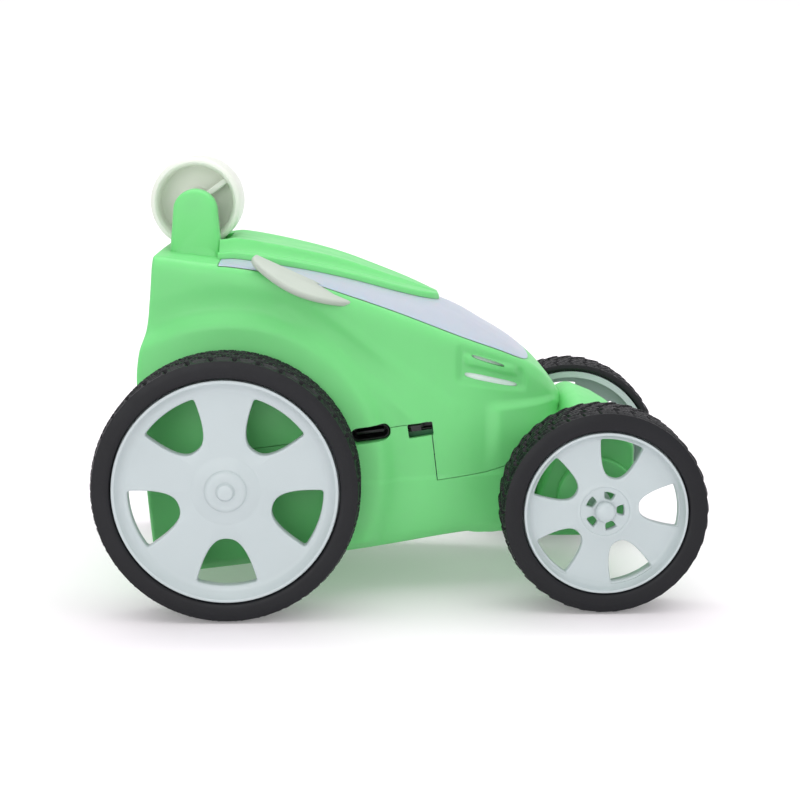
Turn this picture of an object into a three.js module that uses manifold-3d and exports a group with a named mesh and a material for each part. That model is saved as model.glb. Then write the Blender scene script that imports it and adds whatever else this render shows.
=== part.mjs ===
// A battery-powered tumbling stunt car: a sculpted two-part body on two large driven rear wheels and two smaller
// free front wheels, with a small roller on a fork at the tail that it rolls over when it stands up.
//
// Millimetres, +X forwards, +Y to the car's left, +Z up. The car's own measures are taken from the point on the
// ground below the rear axle; the exported group moves that to the middle of the footprint.

import * as THREE from "three";
import { mergeVertices } from "three/addons/utils/BufferGeometryUtils.js";
import Module from "manifold-3d";

const wasm = await Module();
wasm.setup();

// ---------------------------------------------------------------- driving dimensions

const WHEELBASE = 88;
const REAR = { radius: 31, width: 16, inner: 34.3, lip: 26.2, sleeve: 28.4, shoulder: 30.2, sides: 28 };
const FRONT = { radius: 24.3, width: 15.4, inner: 29.2, lip: 19.4, sleeve: 22, shoulder: 23.5, sides: 24 };
const REAR_WINDOWS = { count: 5, from: 11.3, to: 22.4, half: 7, power: 2.1, first: -90 };
const FRONT_WINDOWS = { count: 5, from: 8, to: 17.2, half: 5.1, power: 2.6, first: 5 };
const FAR_FRONT_TURN = 21; // degrees that the left front wheel stands turned
const HUB_WINDOWS = { count: 5, from: 2.8, to: 4.5, half: 1.25, power: 5, first: 3 };

const WALL = 1.6;
const GAP = 0.3; // between pieces that touch
const TILT = 7.5; // degrees, the chassis and its electronics stand nose up
const DECK_FRONT = -2.4; // where the rear deck ends and the light cover starts
const TAB_FRONT = 48.6; // front edge of the raised chassis wall that holds the port and the switch

const AXLE = { radius: 1.5, bore: 1.7 };
const MOTOR = { radius: 7.7, flat: 6, from: 1, to: 17.6, shaft: 1 };
const GEAR = { module: 0.8, small: 10, large: 28, tooth: 0.39, addendum: 0.8, dedendum: 1.15 };
const PLANE = { innerPlate: [18.4, 19.7], fast: [20.2, 22.2], slow: [22.7, 25.2], outerPlate: [25.5, 26.5] };
const AXLE_AT = [0, REAR.radius];
const MIDDLE_AT = [14.2, 25.6];
const MOTOR_AT = [28.9, 29.4];

const ROLLER = { x: -9.5, z: 94.2, radius: 11.05, half: 8.2, rim: 1.9, hub: 3, ribs: [36, 262] };
const POST = { x: -9.1, z: 92.5, inner: 9, outer: 14.6, half: 5.3 };
const HOUSING = { half: 26.6, boss: 9.7, face: 28.9, wall: 1.8, sag: 4 };
const TONGUE = { half: 15, from: 66, to: 95.5, bottom: 13.6, top: 16.4 };

const USB = { x: 33.2, z: 41, width: 8.9, height: 3.2, depth: 7.4, face: 30.2 };
const SWITCH = { x: 45.2, z: 41.4, width: 5.4, height: 2.9, travel: 2, knob: 2.6 };
const BOARD_SPAN = { from: -10, to: 16, right: -26.2, left: 10.5, top: -1.9, thick: 1.2 };
const BATTERY = { x: 47.6, radius: 7, half: 21.5 };

const CASE_SCREWS = [[-12, 18], [-12, -18], [60, 17], [60, -17]];
const HOUSING_SCREWS = [[85, 9], [85, -9]];
const SCREW = { head: 2.4, headHeight: 1.6, shank: 1.1, bore: 1.35, length: 12 };

const rad = THREE.MathUtils.degToRad;

// ---------------------------------------------------------------- materials

function plastic(color, roughness) {
  return new THREE.MeshStandardMaterial({ color, roughness, metalness: 0 });
}
function metal(color, roughness) {
  return new THREE.MeshStandardMaterial({ color, roughness, metalness: 1 });
}
const GREEN = plastic(0x74dc80, 0.5);
const MILKY = plastic(0xdde4ea, 0.4);
const RUBBER = plastic(0x26262c, 0.75);
const BLACK = plastic(0x151517, 0.5);
const GEAR_WHITE = plastic(0xe9e6da, 0.45);
const BOARD = plastic(0x1f6b3c, 0.5);
const STEEL = metal(0xb9bcc0, 0.3);
const BRASS = metal(0xc9a558, 0.35);
const CELL = plastic(0x3c6fb4, 0.4);

// ---------------------------------------------------------------- solids

// A closed geometry as a solid that can be joined and cut.
function solid(geometry) {
  const bare = new THREE.BufferGeometry();
  const source = geometry.index ? geometry.toNonIndexed() : geometry;
  bare.setAttribute("position", source.getAttribute("position"));
  const merged = mergeVertices(bare, 1e-4);
  return new wasm.Manifold(
    new wasm.Mesh({
      numProp: 3,
      vertProperties: merged.attributes.position.array,
      triVerts: new Uint32Array(merged.index.array),
    }),
  );
}

// The geometry of a solid.
function geometryOf(made) {
  const mesh = made.getMesh();
  const geometry = new THREE.BufferGeometry();
  const corners = new Float32Array(mesh.numVert * 3);
  for (let i = 0; i < mesh.numVert; i++) {
    for (let k = 0; k < 3; k++) corners[i * 3 + k] = mesh.vertProperties[i * mesh.numProp + k];
  }
  geometry.setAttribute("position", new THREE.BufferAttribute(corners, 3));
  geometry.setIndex(new THREE.BufferAttribute(mesh.triVerts, 1));
  return geometry;
}

function joined(...solids) {
  return solids.reduce((whole, next) => whole.add(next));
}

function cut(from, ...tools) {
  return tools.reduce((rest, tool) => rest.subtract(tool), from);
}

function box(x0, x1, y0, y1, z0, z1) {
  const geometry = new THREE.BoxGeometry(x1 - x0, y1 - y0, z1 - z0);
  return solid(geometry.translate((x0 + x1) / 2, (y0 + y1) / 2, (z0 + z1) / 2));
}

// A rod along Y from y0 to y1 at (x, z).
function rod(radius, y0, y1, x = 0, z = 0, sides = 20) {
  const geometry = new THREE.CylinderGeometry(radius, radius, Math.abs(y1 - y0), sides);
  return solid(geometry.translate(x, (y0 + y1) / 2, z));
}

// An outline in X and Z, made thick along Y.
function slab(shape, y0, y1, curveSegments = 8) {
  const depth = Math.abs(y1 - y0);
  const geometry = new THREE.ExtrudeGeometry(shape, { depth, bevelEnabled: false, curveSegments });
  return solid(geometry.rotateX(Math.PI / 2).translate(0, Math.max(y0, y1), 0));
}

function polygon(points) {
  return new THREE.Shape(points.map(([x, z]) => new THREE.Vector2(x, z)));
}

// A profile of [radius, y] points, turned about the Y axis.
function turned(profile, sides) {
  const closed = profile[0][0] === 0 ? profile : [...profile, profile[0]];
  const made = solid(new THREE.LatheGeometry(closed.map(([r, y]) => new THREE.Vector2(r, y)), sides));
  return made.volume() < 0 ? turned([...profile].reverse(), sides) : made;
}

// A smooth curve through [x, y] pairs, as a function of x.
function smooth(table) {
  const slope = table.map((p, i) => {
    const before = table[Math.max(i - 1, 0)];
    const after = table[Math.min(i + 1, table.length - 1)];
    return (after[1] - before[1]) / (after[0] - before[0]);
  });
  return (x) => {
    const last = table.length - 1;
    if (x <= table[0][0]) return table[0][1];
    if (x >= table[last][0]) return table[last][1];
    const i = table.findIndex((p, k) => k < last && x <= table[k + 1][0]);
    const [x0, y0] = table[i];
    const [x1, y1] = table[i + 1];
    const span = x1 - x0;
    const t = (x - x0) / span;
    const rise = (2 * t ** 3 - 3 * t ** 2 + 1) * y0 + (3 * t ** 2 - 2 * t ** 3) * y1;
    return rise + (t ** 3 - 2 * t ** 2 + t) * span * slope[i] + (t ** 3 - t ** 2) * span * slope[i + 1];
  };
}

function ramp(from, to, value) {
  const t = THREE.MathUtils.clamp((value - from) / (to - from), 0, 1);
  return t * t * (3 - 2 * t);
}

// Rings of equal numbers of [x, y, z] points, skinned and closed at both ends.
function skinned(rings) {
  const across = rings[0].length;
  const positions = rings.flat(2);
  const index = [];
  for (let i = 0; i + 1 < rings.length; i++) {
    for (let j = 0; j < across; j++) {
      const a = i * across + j;
      const b = i * across + ((j + 1) % across);
      index.push(a, b, a + across, b, b + across, a + across);
    }
  }
  for (const [ring, start] of [[rings[0], 0], [rings.at(-1), (rings.length - 1) * across]]) {
    const middle = positions.length / 3;
    positions.push(...[0, 1, 2].map((k) => ring.reduce((sum, p) => sum + p[k], 0) / across));
    for (let j = 0; j < across; j++) {
      const pair = [start + j, start + ((j + 1) % across)];
      index.push(...(start ? pair : pair.reverse()), middle);
    }
  }
  const geometry = new THREE.BufferGeometry();
  geometry.setAttribute("position", new THREE.BufferAttribute(new Float32Array(positions), 3));
  geometry.setIndex(index);
  const made = solid(geometry);
  if (made.volume() > 0) return made;
  geometry.setIndex(index.toReversed());
  return solid(geometry);
}

// ---------------------------------------------------------------- body surface

const bottomZ = smooth([[-20, 4], [0, 6.6], [30, 10.5], [56, 13.9], [64, 13.2], [72, 14.5], [77, 24], [81, 37]]);
const beltZ = smooth([[-20, 83], [-8, 81.8], [0, 80.9], [8, 79.6], [18, 77.3], [27.5, 74.3], [40, 69.7],
  [55, 63.6], [67, 58.9], [74, 54.5], [78, 50.4], [81.2, 45.6]]);
const coverLine = smooth([[-4, 80.7], [0, 80.5], [8, 79.3], [18, 77], [27.5, 73.9], [40, 69.4], [55, 63.3],
  [64.5, 59.6], [72.1, 56.3], [76, 55.7]]);
const crownZ = smooth([[-20, 83.2], [-8, 82.3], [-3, 81.7], [1, 82.3], [16, 80], [28, 77.3], [38, 74.1], [50, 70],
  [56, 67.5], [61, 64.5], [69, 59.4], [75, 54.2], [78, 50.8], [80, 48], [81.2, 46]]);
const halfWidth = smooth([[-20, 28.5], [-10, 30.6], [0, 31.3], [12, 31.6], [25, 31.4], [40, 30.4], [50, 28.8], [58, 27],
  [66, 24], [72, 20.5], [76, 16.5], [79, 11.5], [81.2, 5]]);
const sideBulge = smooth([[0, -3.2], [0.08, -1.9], [0.25, -1], [0.45, -0.2], [0.6, -0.2], [0.78, -1.4], [0.9, -1.2],
  [1, -0.6]]);
const rearLean = smooth([[4, 1], [13, 0.6], [25, -0.3], [53, -2.1], [60, -1.5], [65, 0], [72, 1], [82, 1.9]]);

// How far the wheel arches swell the flank out at (x, z).
function archSwell(x, z) {
  const rear = Math.hypot(x - AXLE_AT[0], z - AXLE_AT[1]);
  const blister = 2.4 * ramp(39.8, 35.4, rear) - 0.45 * ramp(46, 41.5, rear) * ramp(37.5, 41, rear);
  return blister + 1.7 * ramp(47.4, 45.4, z) * ramp(60.5, 65, x) * ramp(26, 42, z);
}

// Height of the body's top surface at (x, y).
function topZ(x, y, inset = 0) {
  const belt = beltZ(x) - inset;
  const crown = Math.max(crownZ(x) - inset, belt + 0.02);
  const shoulder = Math.max(halfWidth(x) - inset - 2.4, 0.8);
  return crown - (crown - belt) * Math.min(Math.abs(y) / shoulder, 1) ** 2.2;
}

// One section of the body at x, drawn in by inset, as a ring of [x, y, z] points.
function bodySection(x, inset, sideSteps) {
  const width = halfWidth(x) - inset;
  const belt = beltZ(x) - inset;
  const bottom = bottomZ(x) + inset;
  const shoulder = Math.max(width - 2.4, 0.8);
  const side = [];
  for (let i = 0; i <= sideSteps; i++) {
    const t = i / sideSteps;
    const z = THREE.MathUtils.lerp(bottom + 2.8, belt - 2.6, t);
    const swell = inset < WALL ? archSwell(x, z) : 0;
    side.push([Math.max(width + sideBulge(t) + swell, 1), z]);
  }
  const floor = [[0, bottom], [Math.max(side[0][0] - 2.6, 0.5), bottom]];
  const roof = [1, 0.8, 0.55, 0.3].map((part) => [shoulder * part, topZ(x, shoulder * part, inset)]);
  const half = [...floor, ...side, [Math.max(width - 1.3, 0.9), belt - 0.8], ...roof, [0, topZ(x, 0, inset)]];
  const other = half.slice(1, -1).reverse().map(([y, z]) => [-y, z]);
  const lean = THREE.MathUtils.clamp((-8 - x) / 12, 0, 1);
  return [...half, ...other].map(([y, z]) => [x + rearLean(z) * lean, y, z]);
}

function bodySolid(stations, inset, sideSteps) {
  const [first, ...rest] = stations;
  const rear = [[first, inset + 1.2], [first + 0.7, inset + 0.4]].map(([x, drawn]) => bodySection(x, drawn, sideSteps));
  return skinned([...rear, ...rest.map((x) => bodySection(x, inset, sideSteps))]);
}

const OUTER_STATIONS = [-20, -17.6, -10, -2.8, 1, 10, 20, 30, 40, 49, 57, 64, 70, 75, 78.5, 81.2];
const INNER_STATIONS = [-17.8, -14, 1, 20, 38, 53, 62, 69, 74.5, 79];
const SIDE_STEPS = { outer: 6, inner: 4 };
const bodyOutside = bodySolid(OUTER_STATIONS, 0, SIDE_STEPS.outer);
const bodyInside = bodySolid(INNER_STATIONS, WALL, SIDE_STEPS.inner);
const bodyGrown = bodySolid(OUTER_STATIONS, -GAP, SIDE_STEPS.outer);
const shell = bodyOutside.subtract(bodyInside);

// The seam between the upper shell and the chassis: it rises to the front edge of the raised wall, steps down and
// runs on to the nose. shift moves it up or down.
function seamPoints(shift) {
  return [[-30, 33.2 + shift], [TAB_FRONT - 0.9 + shift, 43.5 + shift], [TAB_FRONT + 0.7 + shift, 28.9 + shift],
    [61, 30.2 + shift], [72, 33 + shift], [95, 36 + shift]];
}
const below = slab(polygon([...seamPoints(-GAP / 2), [95, -10], [-30, -10]]), -45, 45);
const above = slab(polygon([...seamPoints(GAP / 2), [95, 120], [-30, 120]]), -45, 45);

// Everything of the body above the cover line, ahead of x = from, with the line moved by lift.
function overCoverLine(lift, from) {
  const stops = [0, 8, 18, 27.5, 40, 55, 64.5, 72.1, 76].filter((x) => x > from);
  const line = [from, ...stops].map((x) => [x, coverLine(x) + lift]);
  return slab(polygon([...line, [95, 55.7 + lift], [95, 120], [from, 120]]), -45, 45);
}

// ---------------------------------------------------------------- openings in the body

// A rounded rectangle about (cx, cz), tilted as the chassis is.
function tilted(cx, cz, width, height, corner) {
  const w = width / 2 - corner;
  const h = height / 2 - corner;
  const points = [];
  [[w, h], [-w, h], [-w, -h], [w, -h]].forEach(([x, z], quarter) => {
    for (const more of corner > 0.1 ? [0, 30, 60, 90] : [45]) {
      const angle = rad(quarter * 90 + more);
      points.push(new THREE.Vector2(x + corner * Math.cos(angle), z + corner * Math.sin(angle)));
    }
  });
  const centre = new THREE.Vector2(cx, cz);
  return new THREE.Shape(points.map((p) => p.add(centre).rotateAround(centre, rad(TILT))));
}

const usbOpening = slab(tilted(USB.x, USB.z, USB.width + 0.8, USB.height + 0.8, 1.9), -40, -24);
const switchOpening = slab(tilted(SWITCH.x, SWITCH.z, SWITCH.width + 0.6, SWITCH.height + 0.4, 0.05), -40, -24);
const axleBores = rod(2.1, -40, 40, ...AXLE_AT, 16);

// Two slanting slots in each flank, behind the nose, that the light shines through.
const ventSlots = joined(
  slab(polygon([[57.7, 58.2], [65.6, 55.4], [65.4, 56.3], [57.5, 59.2]]), -40, 40),
  slab(polygon([[56, 53.4], [69, 50.1], [68.8, 51.5], [55.8, 55]]), -40, 40),
);

function upright(x, y, radius, z0, z1, sides = 10) {
  const geometry = new THREE.CylinderGeometry(radius, radius, z1 - z0, sides).rotateX(Math.PI / 2);
  return solid(geometry.translate(x, y, (z0 + z1) / 2));
}

// ---------------------------------------------------------------- body pieces

// Ribs across the floor that carry the two motors, one pair each.
function motorCradles() {
  const [x, z] = MOTOR_AT;
  const rib = polygon([[x - 9.2, 8], [x + 9, 8], [x + 9, z + 1], [x - 9.2, z + 1]]);
  const room = joined(
    box(x - MOTOR.radius - GAP, x + MOTOR.radius + GAP, -40, 40, z - MOTOR.flat + 1, z + 20),
    box(x - 6, x + 6, -40, 40, z - MOTOR.flat - GAP, z + 20),
  );
  return [-14, -6.4, 5, 12.6].map((y) => slab(rib, y, y + 1.4).subtract(room));
}

function batteryCradles() {
  const z = batteryZ();
  const rib = polygon([[38.9, 10], [56.3, 10], [55.2, z + 3], [40, z + 3]]);
  const room = rod(BATTERY.radius + GAP, -40, 40, BATTERY.x, z, 20);
  return [-16, 14.6].map((y) => slab(rib, y, y + 1.4).subtract(joined(room, box(43, 52, -40, 40, z, z + 9))));
}

function batteryZ() {
  return bottomZ(BATTERY.x) + WALL + BATTERY.radius + GAP + 0.2;
}

function chassisPiece() {
  const { half, from, to, bottom, top } = TONGUE;
  const tongue = box(from, to, -half, half, bottom, top);
  const columns = CASE_SCREWS.map(([x, y]) => upright(x, y, 3.9, bottomZ(x) + 0.4, bottomZ(x) + 8));
  const pillars = [-9.5, 9.5].map((y) => upright(38.4, y, 1.3, bottomZ(38.4) + 0.5, 37.9, 10));
  const inside = joined(...columns, ...pillars, ...motorCradles(), ...batteryCradles());
  const bores = [...CASE_SCREWS, ...HOUSING_SCREWS].flatMap(([x, y]) => {
    const seat = Math.min(bottomZ(x), TONGUE.bottom);
    const start = x > TONGUE.from ? TONGUE.bottom : seat;
    return [
      upright(x, y, SCREW.bore, start - 3, start + 20),
      upright(x, y, SCREW.head + GAP, start - 3, start + (x > TONGUE.from ? 1.2 : 2.6)),
    ];
  });
  const whole = joined(shell.intersect(below), tongue.subtract(bodyInside), inside.intersect(bodyOutside));
  return cut(whole, ...bores, usbOpening, switchOpening, axleBores);
}

// One upright of the tail fork, round at the top, with the bore for the roller's pin.
function forkPost(side) {
  const { x, z } = POST;
  const shape = new THREE.Shape();
  shape.moveTo(x - 7, 79);
  shape.lineTo(x - 5.9, 84);
  shape.lineTo(x - POST.half, z);
  shape.absarc(x, z, POST.half, Math.PI, 0, true);
  shape.lineTo(x + 5.9, 84);
  shape.lineTo(x + 6.4, 79);
  return slab(shape, side * POST.inner, side * POST.outer, 10).subtract(rod(1.3, -20, 20, ROLLER.x, ROLLER.z, 12));
}

function upperShellPiece() {
  const legs = CASE_SCREWS.map(([x, y]) => {
    const post = upright(x, y, 3.3, bottomZ(x) + 8 + GAP, 90).subtract(upright(x, y, SCREW.bore, 0, bottomZ(x) + 16));
    const [near, far] = [y + Math.sign(y) * 2.4, Math.sign(y) * 40].sort((a, b) => a - b);
    const rib = box(x - 0.8, x + 0.8, near, far, 38, 48);
    return joined(post, rib).intersect(box(-40, 90, -40, 40, 0, x > 0 ? 48 : 90));
  });
  const skin = cut(shell.intersect(above), ventSlots);
  const posts = [forkPost(1), forkPost(-1)];
  return cut(joined(skin, joined(...legs).intersect(bodyOutside), ...posts), overCoverLine(0, DECK_FRONT), usbOpening, switchOpening, axleBores);
}

function lightCoverPiece() {
  return shell.intersect(overCoverLine(GAP, DECK_FRONT + GAP));
}

const roofHalf = smooth([[-1.8, 20.6], [12, 19.8], [26, 17], [38, 13.4], [45, 10], [49, 6.2], [50.6, 3]]);
const roofRise = smooth([[-1.8, 2.9], [10, 2.6], [25, 2.1], [38, 1.2], [47, 0.4], [50.6, 0]]);

// The roof panel lies on the light cover: a thin flange with a raised middle.
function roofPanelPiece() {
  const FLANGE = 1.2;
  const rings = [-1.8, 4, 10, 17, 24, 31, 38, 43, 47, 49.2, 50.6].map((x) => {
    const half = roofHalf(x);
    const across = [-1, -0.82, -0.7, -0.66, -0.35, 0, 0.35, 0.66, 0.7, 0.82, 1].map((part) => part * half);
    const rise = (y) => roofRise(x) * (Math.abs(y) < 0.68 * half ? 1 - 0.25 * (y / half) ** 2 : 0);
    const upper = across.map((y) => [x, y, topZ(x, y) + GAP + FLANGE + rise(y)]);
    return [...upper, ...across.toReversed().map((y) => [x, y, topZ(x, y) - GAP])];
  });
  const notch = rod(ROLLER.radius + 0.9, -POST.inner, POST.inner, ROLLER.x, ROLLER.z, 28);
  return cut(skinned(rings), notch, bodyGrown);
}

// A leaf-shaped fin that stands out from the belt line on one side.
function finPiece(side) {
  const shape = new THREE.Shape();
  shape.moveTo(-12.6, -4);
  shape.lineTo(-13.4, 0.4);
  shape.quadraticCurveTo(-13.2, 5.6, -5.6, 6.4);
  shape.quadraticCurveTo(3, 6.8, 13.2, 0.4);
  shape.lineTo(13.2, -4);
  const geometry = new THREE.ExtrudeGeometry(shape, { depth: 1.9, bevelEnabled: false, curveSegments: 6 });
  if (side < 0) geometry.rotateX(Math.PI).translate(0, 0, 1.9);
  geometry.rotateX(-side * rad(24)).rotateY(rad(24.6)).translate(17.5, side * 28.6, 76.3);
  return solid(geometry).subtract(bodyGrown);
}

// A strip of light guide behind the slots of one flank.
function diffuserPiece(side) {
  const [near, deep] = [GAP, GAP + 1.2].map((more) => bodySolid(INNER_STATIONS, WALL + more, SIDE_STEPS.inner));
  const strip = near.subtract(deep);
  return strip.intersect(box(54.6, 69.6, side > 0 ? 10 : -40, side > 0 ? 40 : -10, 49, 58.6))
    .subtract(overCoverLine(-2.2, 35));
}

// The housing that holds the front wheels' pins, open below and behind.
function housingPiece() {
  const outline = [[74.4, 14.4], [74.4, 25.4], [77.2, 34.3], [80.4, 42.4], [82.6, 45.6], [85.6, 46.9], [90.5, 44.9],
    [94.2, 42.6], [97, 37.5], [97, 20], [95.5, 14.4]];
  const centre = [86, 28];
  const ring = (y, drawn) => outline.map(([x, z]) => {
    const sag = HOUSING.sag * (y / HOUSING.half) ** 2 * ramp(30, 46, z);
    const reach = Math.hypot(x - centre[0], z - centre[1]);
    const keep = 1 - drawn / reach;
    return [centre[0] + (x - centre[0]) * keep, y, centre[1] + (z - sag - centre[1]) * keep];
  });
  const { half, boss, face, wall } = HOUSING;
  const outside = skinned([[-half, 1], [-half + 1, 0], [-14, 0], [0, 0], [14, 0], [half - 1, 0], [half, 1]]
    .map(([y, drawn]) => ring(y, drawn)));
  const inside = skinned([-half + wall, -14, 0, 14, half - wall].map((y) => ring(y, 2 * wall)))
    .add(box(78, 93, -half + wall, half - wall, 10, 26));
  const pinAt = [WHEELBASE, FRONT.radius];
  const bosses = [-1, 1].map((side) => rod(boss, side * (half - 1), side * face, ...pinAt, 22));
  const sockets = [-1, 1].map((side) => rod(4, side * 15.6, side * (half - 1), ...pinAt, 10));
  const webs = [-1, 1].map((side) => box(83, 87, Math.min(side * 7, side * 11), Math.max(side * 7, side * 11), 17, 42));
  const tongueRoom = box(60, 99, -TONGUE.half - GAP, TONGUE.half + GAP, 5, TONGUE.top + GAP);
  const bores = joined(
    rod(AXLE.radius + 0.2, -40, 40, ...pinAt, 12),
    ...HOUSING_SCREWS.map(([x, y]) => upright(x, y, SCREW.bore, 10, 29)),
  );
  const inner = joined(...sockets, ...webs).intersect(outside);
  return cut(joined(outside.subtract(inside), ...bosses, inner), tongueRoom, bores, bodyGrown);
}

// ---------------------------------------------------------------- wheels

// One opening between two spokes: round towards the hub, wide and flat towards the rim.
function windowShape({ from, to, half, power }, degrees) {
  const corner = Math.sqrt(to ** 2 - half ** 2);
  const side = [1, 0.85, 0.65, 0.4, 0, -0.4, -0.65, -0.85, -1].map((part) => {
    const reach = from + Math.abs(part) ** power * (corner - from);
    return [reach, part * half];
  });
  const shape = polygon([...side, [to, 0]]);
  return new THREE.Shape(shape.getPoints().map((p) => p.rotateAround(new THREE.Vector2(), rad(degrees))));
}

function windowTools(windows, turn, y0, y1) {
  const tools = [];
  for (let i = 0; i < windows.count; i++) {
    tools.push(slab(windowShape(windows, windows.first + turn + (i * 360) / windows.count), y0, y1));
  }
  return tools;
}

// Wheels are made with their inner face at y = 0 and face outwards to side * width.
function tyrePiece({ radius, width, lip, sleeve, shoulder, sides }, side) {
  const bead = width - 2.9;
  const profile = [[lip, bead], [lip, width], [shoulder, width], [radius, width - 2.6], [radius, 2.6], [shoulder, 0],
    [sleeve, 0], [sleeve, bead]];
  return turned(profile.map(([r, y]) => [r, side * y]), sides);
}

function rearRimPiece(side) {
  const { width, lip, sleeve, sides } = REAR;
  const step = width - 3.2;
  const profile = [[0, width - 0.2], [2, width - 0.5], [4.6, width - 1.6], [8, width - 2.2],
    [22.6, width - 1.9], [lip - 0.6, width], [lip - GAP, step], [sleeve - GAP, step], [sleeve - GAP, 0.4],
    [sleeve - 2.1, 0.4], [sleeve - 2.1, 11.4], [4.4, 11.4], [4.4, 0.4]];
  const solidRim = turned([...profile, [0, 0.4]].map(([r, y]) => [r, side * y]), sides);
  const rim = solidRim.subtract(rod(AXLE.bore, -side, side * 12.2, 0, 0, 14));
  return cut(rim, ...windowTools(REAR_WINDOWS, 0, side * 10, side * 20));
}

function frontRimPiece(side, turn) {
  const { width, lip, sleeve, sides } = FRONT;
  const step = width - 3.2;
  const profile = [[0, 12.6], [5.8, 12.6], [16.9, 12.7], [lip - 0.6, width], [lip - GAP, step], [sleeve - GAP, step],
    [sleeve - GAP, 0.4], [sleeve - 1.9, 0.4], [sleeve - 1.9, 10.9], [2.6, 10.9], [2.6, 0.4], [0, 0.4]];
  const solidRim = turned(profile.map(([r, y]) => [r, side * y]), sides);
  const rim = solidRim.subtract(rod(AXLE.bore, -side, side * 20, 0, 0, 14));
  const openings = windowTools(FRONT_WINDOWS, turn, side * 9.5, side * 20);
  return cut(rim, ...openings, ...windowTools(HUB_WINDOWS, turn, side * 9.5, side * 20));
}

// The pin that a front wheel turns on, with a round head that keeps the wheel on.
function frontPinPiece(side) {
  const from = 16;
  const seat = FRONT.inner + 12.6 + GAP;
  const profile = [[0, from], [AXLE.radius, from], [AXLE.radius, seat], [2.4, seat], [2.4, seat + 0.9], [1.6, seat + 1.5],
    [0, seat + 1.7]];
  return turned(profile.map(([r, y]) => [r, side * y]), 14);
}

function rollerPiece() {
  const { radius, half, rim, hub, ribs: ribAngles } = ROLLER;
  const profile = [[1.5, half - 1], [hub, half - 1], [hub, 1], [radius - rim, 1], [radius - rim, half],
    [radius, half - 0.3]];
  const mirrored = profile.toReversed().map(([r, y]) => [r, -y]);
  const drum = turned([...profile, ...mirrored], 22);
  const ribs = ribAngles.map((degrees) => {
    const fin = new THREE.BoxGeometry(radius - rim - hub + 1.4, 2 * half - 4, 1.4);
    return solid(fin.translate((radius - rim + hub) / 2, 0, 0).rotateY(-rad(degrees)));
  });
  return joined(drum, ...ribs);
}

// ---------------------------------------------------------------- drive

// A spur gear between y0 and y1, with the middle of a tooth at the angle given.
function spurGear(teeth, [y0, y1], degrees) {
  const { module, tooth, addendum, dedendum } = GEAR;
  const pitch = (teeth * module) / 2;
  const half = (tooth * Math.PI * module) / 2;
  const slope = Math.tan(rad(20)) * module;
  const levels = [[-dedendum, half + slope * dedendum], [addendum, half - slope * addendum]];
  const [[low, foot], [high, tip]] = levels.map(([rise, wide]) => [pitch + rise * module, wide]);
  const points = [];
  for (let i = 0; i < teeth; i++) {
    const at = rad(degrees) + (i * 2 * Math.PI) / teeth;
    for (const [r, wide] of [[low, -foot], [high, -tip], [high, tip], [low, foot]]) {
      points.push([r * Math.cos(at + wide / r), r * Math.sin(at + wide / r)]);
    }
  }
  return slab(polygon(points), y0, y1);
}

function heading(from, to) {
  return THREE.MathUtils.radToDeg(Math.atan2(to[1] - from[1], to[0] - from[0]));
}

function both(side, [y0, y1]) {
  return [side * y0, side * y1];
}

function driveGearPiece(side) {
  const halfTooth = 180 / GEAR.large;
  const gear = spurGear(GEAR.large, both(side, PLANE.slow), heading(AXLE_AT, MIDDLE_AT) + halfTooth);
  return gear.subtract(rod(AXLE.bore, -40, 40, 0, 0, 16));
}

function reductionGearPiece(side) {
  const halfTooth = 180 / GEAR.large;
  const small = spurGear(GEAR.small, [side * PLANE.fast[0], side * PLANE.slow[1]], heading(MIDDLE_AT, AXLE_AT));
  const large = spurGear(GEAR.large, both(side, PLANE.fast), heading(MIDDLE_AT, MOTOR_AT) + halfTooth);
  return joined(small, large).subtract(rod(AXLE.bore, -40, 40, 0, 0, 16));
}

function motorPinionPiece(side) {
  const gear = spurGear(GEAR.small, both(side, PLANE.fast), heading(MOTOR_AT, MIDDLE_AT));
  return gear.subtract(rod(MOTOR.shaft + 0.2, -40, 40, 0, 0, 12));
}

function motorPiece(side) {
  const can = rod(MOTOR.radius, side * MOTOR.from, side * MOTOR.to, ...MOTOR_AT, 24);
  const [x, z] = MOTOR_AT;
  const squared = can.intersect(box(x - 9, x + 9, -20, 20, z - MOTOR.flat, z + MOTOR.flat));
  return squared.subtract(rod(MOTOR.shaft + 0.3, side * (MOTOR.to - 4), side * 30, x, z, 12));
}

// Two plates and three spacers that hold one side's shafts.
function gearFramePiece(side) {
  const spacers = [[12, 41.2], [3.2, 16.7], [29, 20.4]];
  const innerOutline = polygon([[-4.4, 34.5], [-4.4, 26], [0.6, 13.2], [30.2, 17], [33.4, 26], [33.4, 33.2], [22.5, 34.8],
    [14.4, 43.2], [9.6, 43.2]]);
  const outerOutline = polygon([[-4, 34.2], [-4, 26], [1.6, 15.2], [4.8, 15.2], [30.4, 19], [30.4, 21.4], [18, 29.6],
    [14.2, 43], [9.8, 43]]);
  const plates = [slab(innerOutline, ...both(side, PLANE.innerPlate)), slab(outerOutline, ...both(side, PLANE.outerPlate))];
  const posts = spacers.map(([x, z]) => rod(1.5, side * 19, side * 25.9, x, z, 10));
  const bores = [
    rod(AXLE.bore, -40, 40, ...AXLE_AT, 14),
    rod(AXLE.bore, -40, 40, ...MIDDLE_AT, 14),
    rod(3, side * 15, side * 20.1, ...MOTOR_AT, 14),
  ];
  return cut(joined(...plates, ...posts), ...bores);
}

// ---------------------------------------------------------------- electronics, in the tilted frame of the port

function boardPiece() {
  const { from, to, right, left, top, thick } = BOARD_SPAN;
  return box(from, to, right, left, top - thick, top);
}

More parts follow.
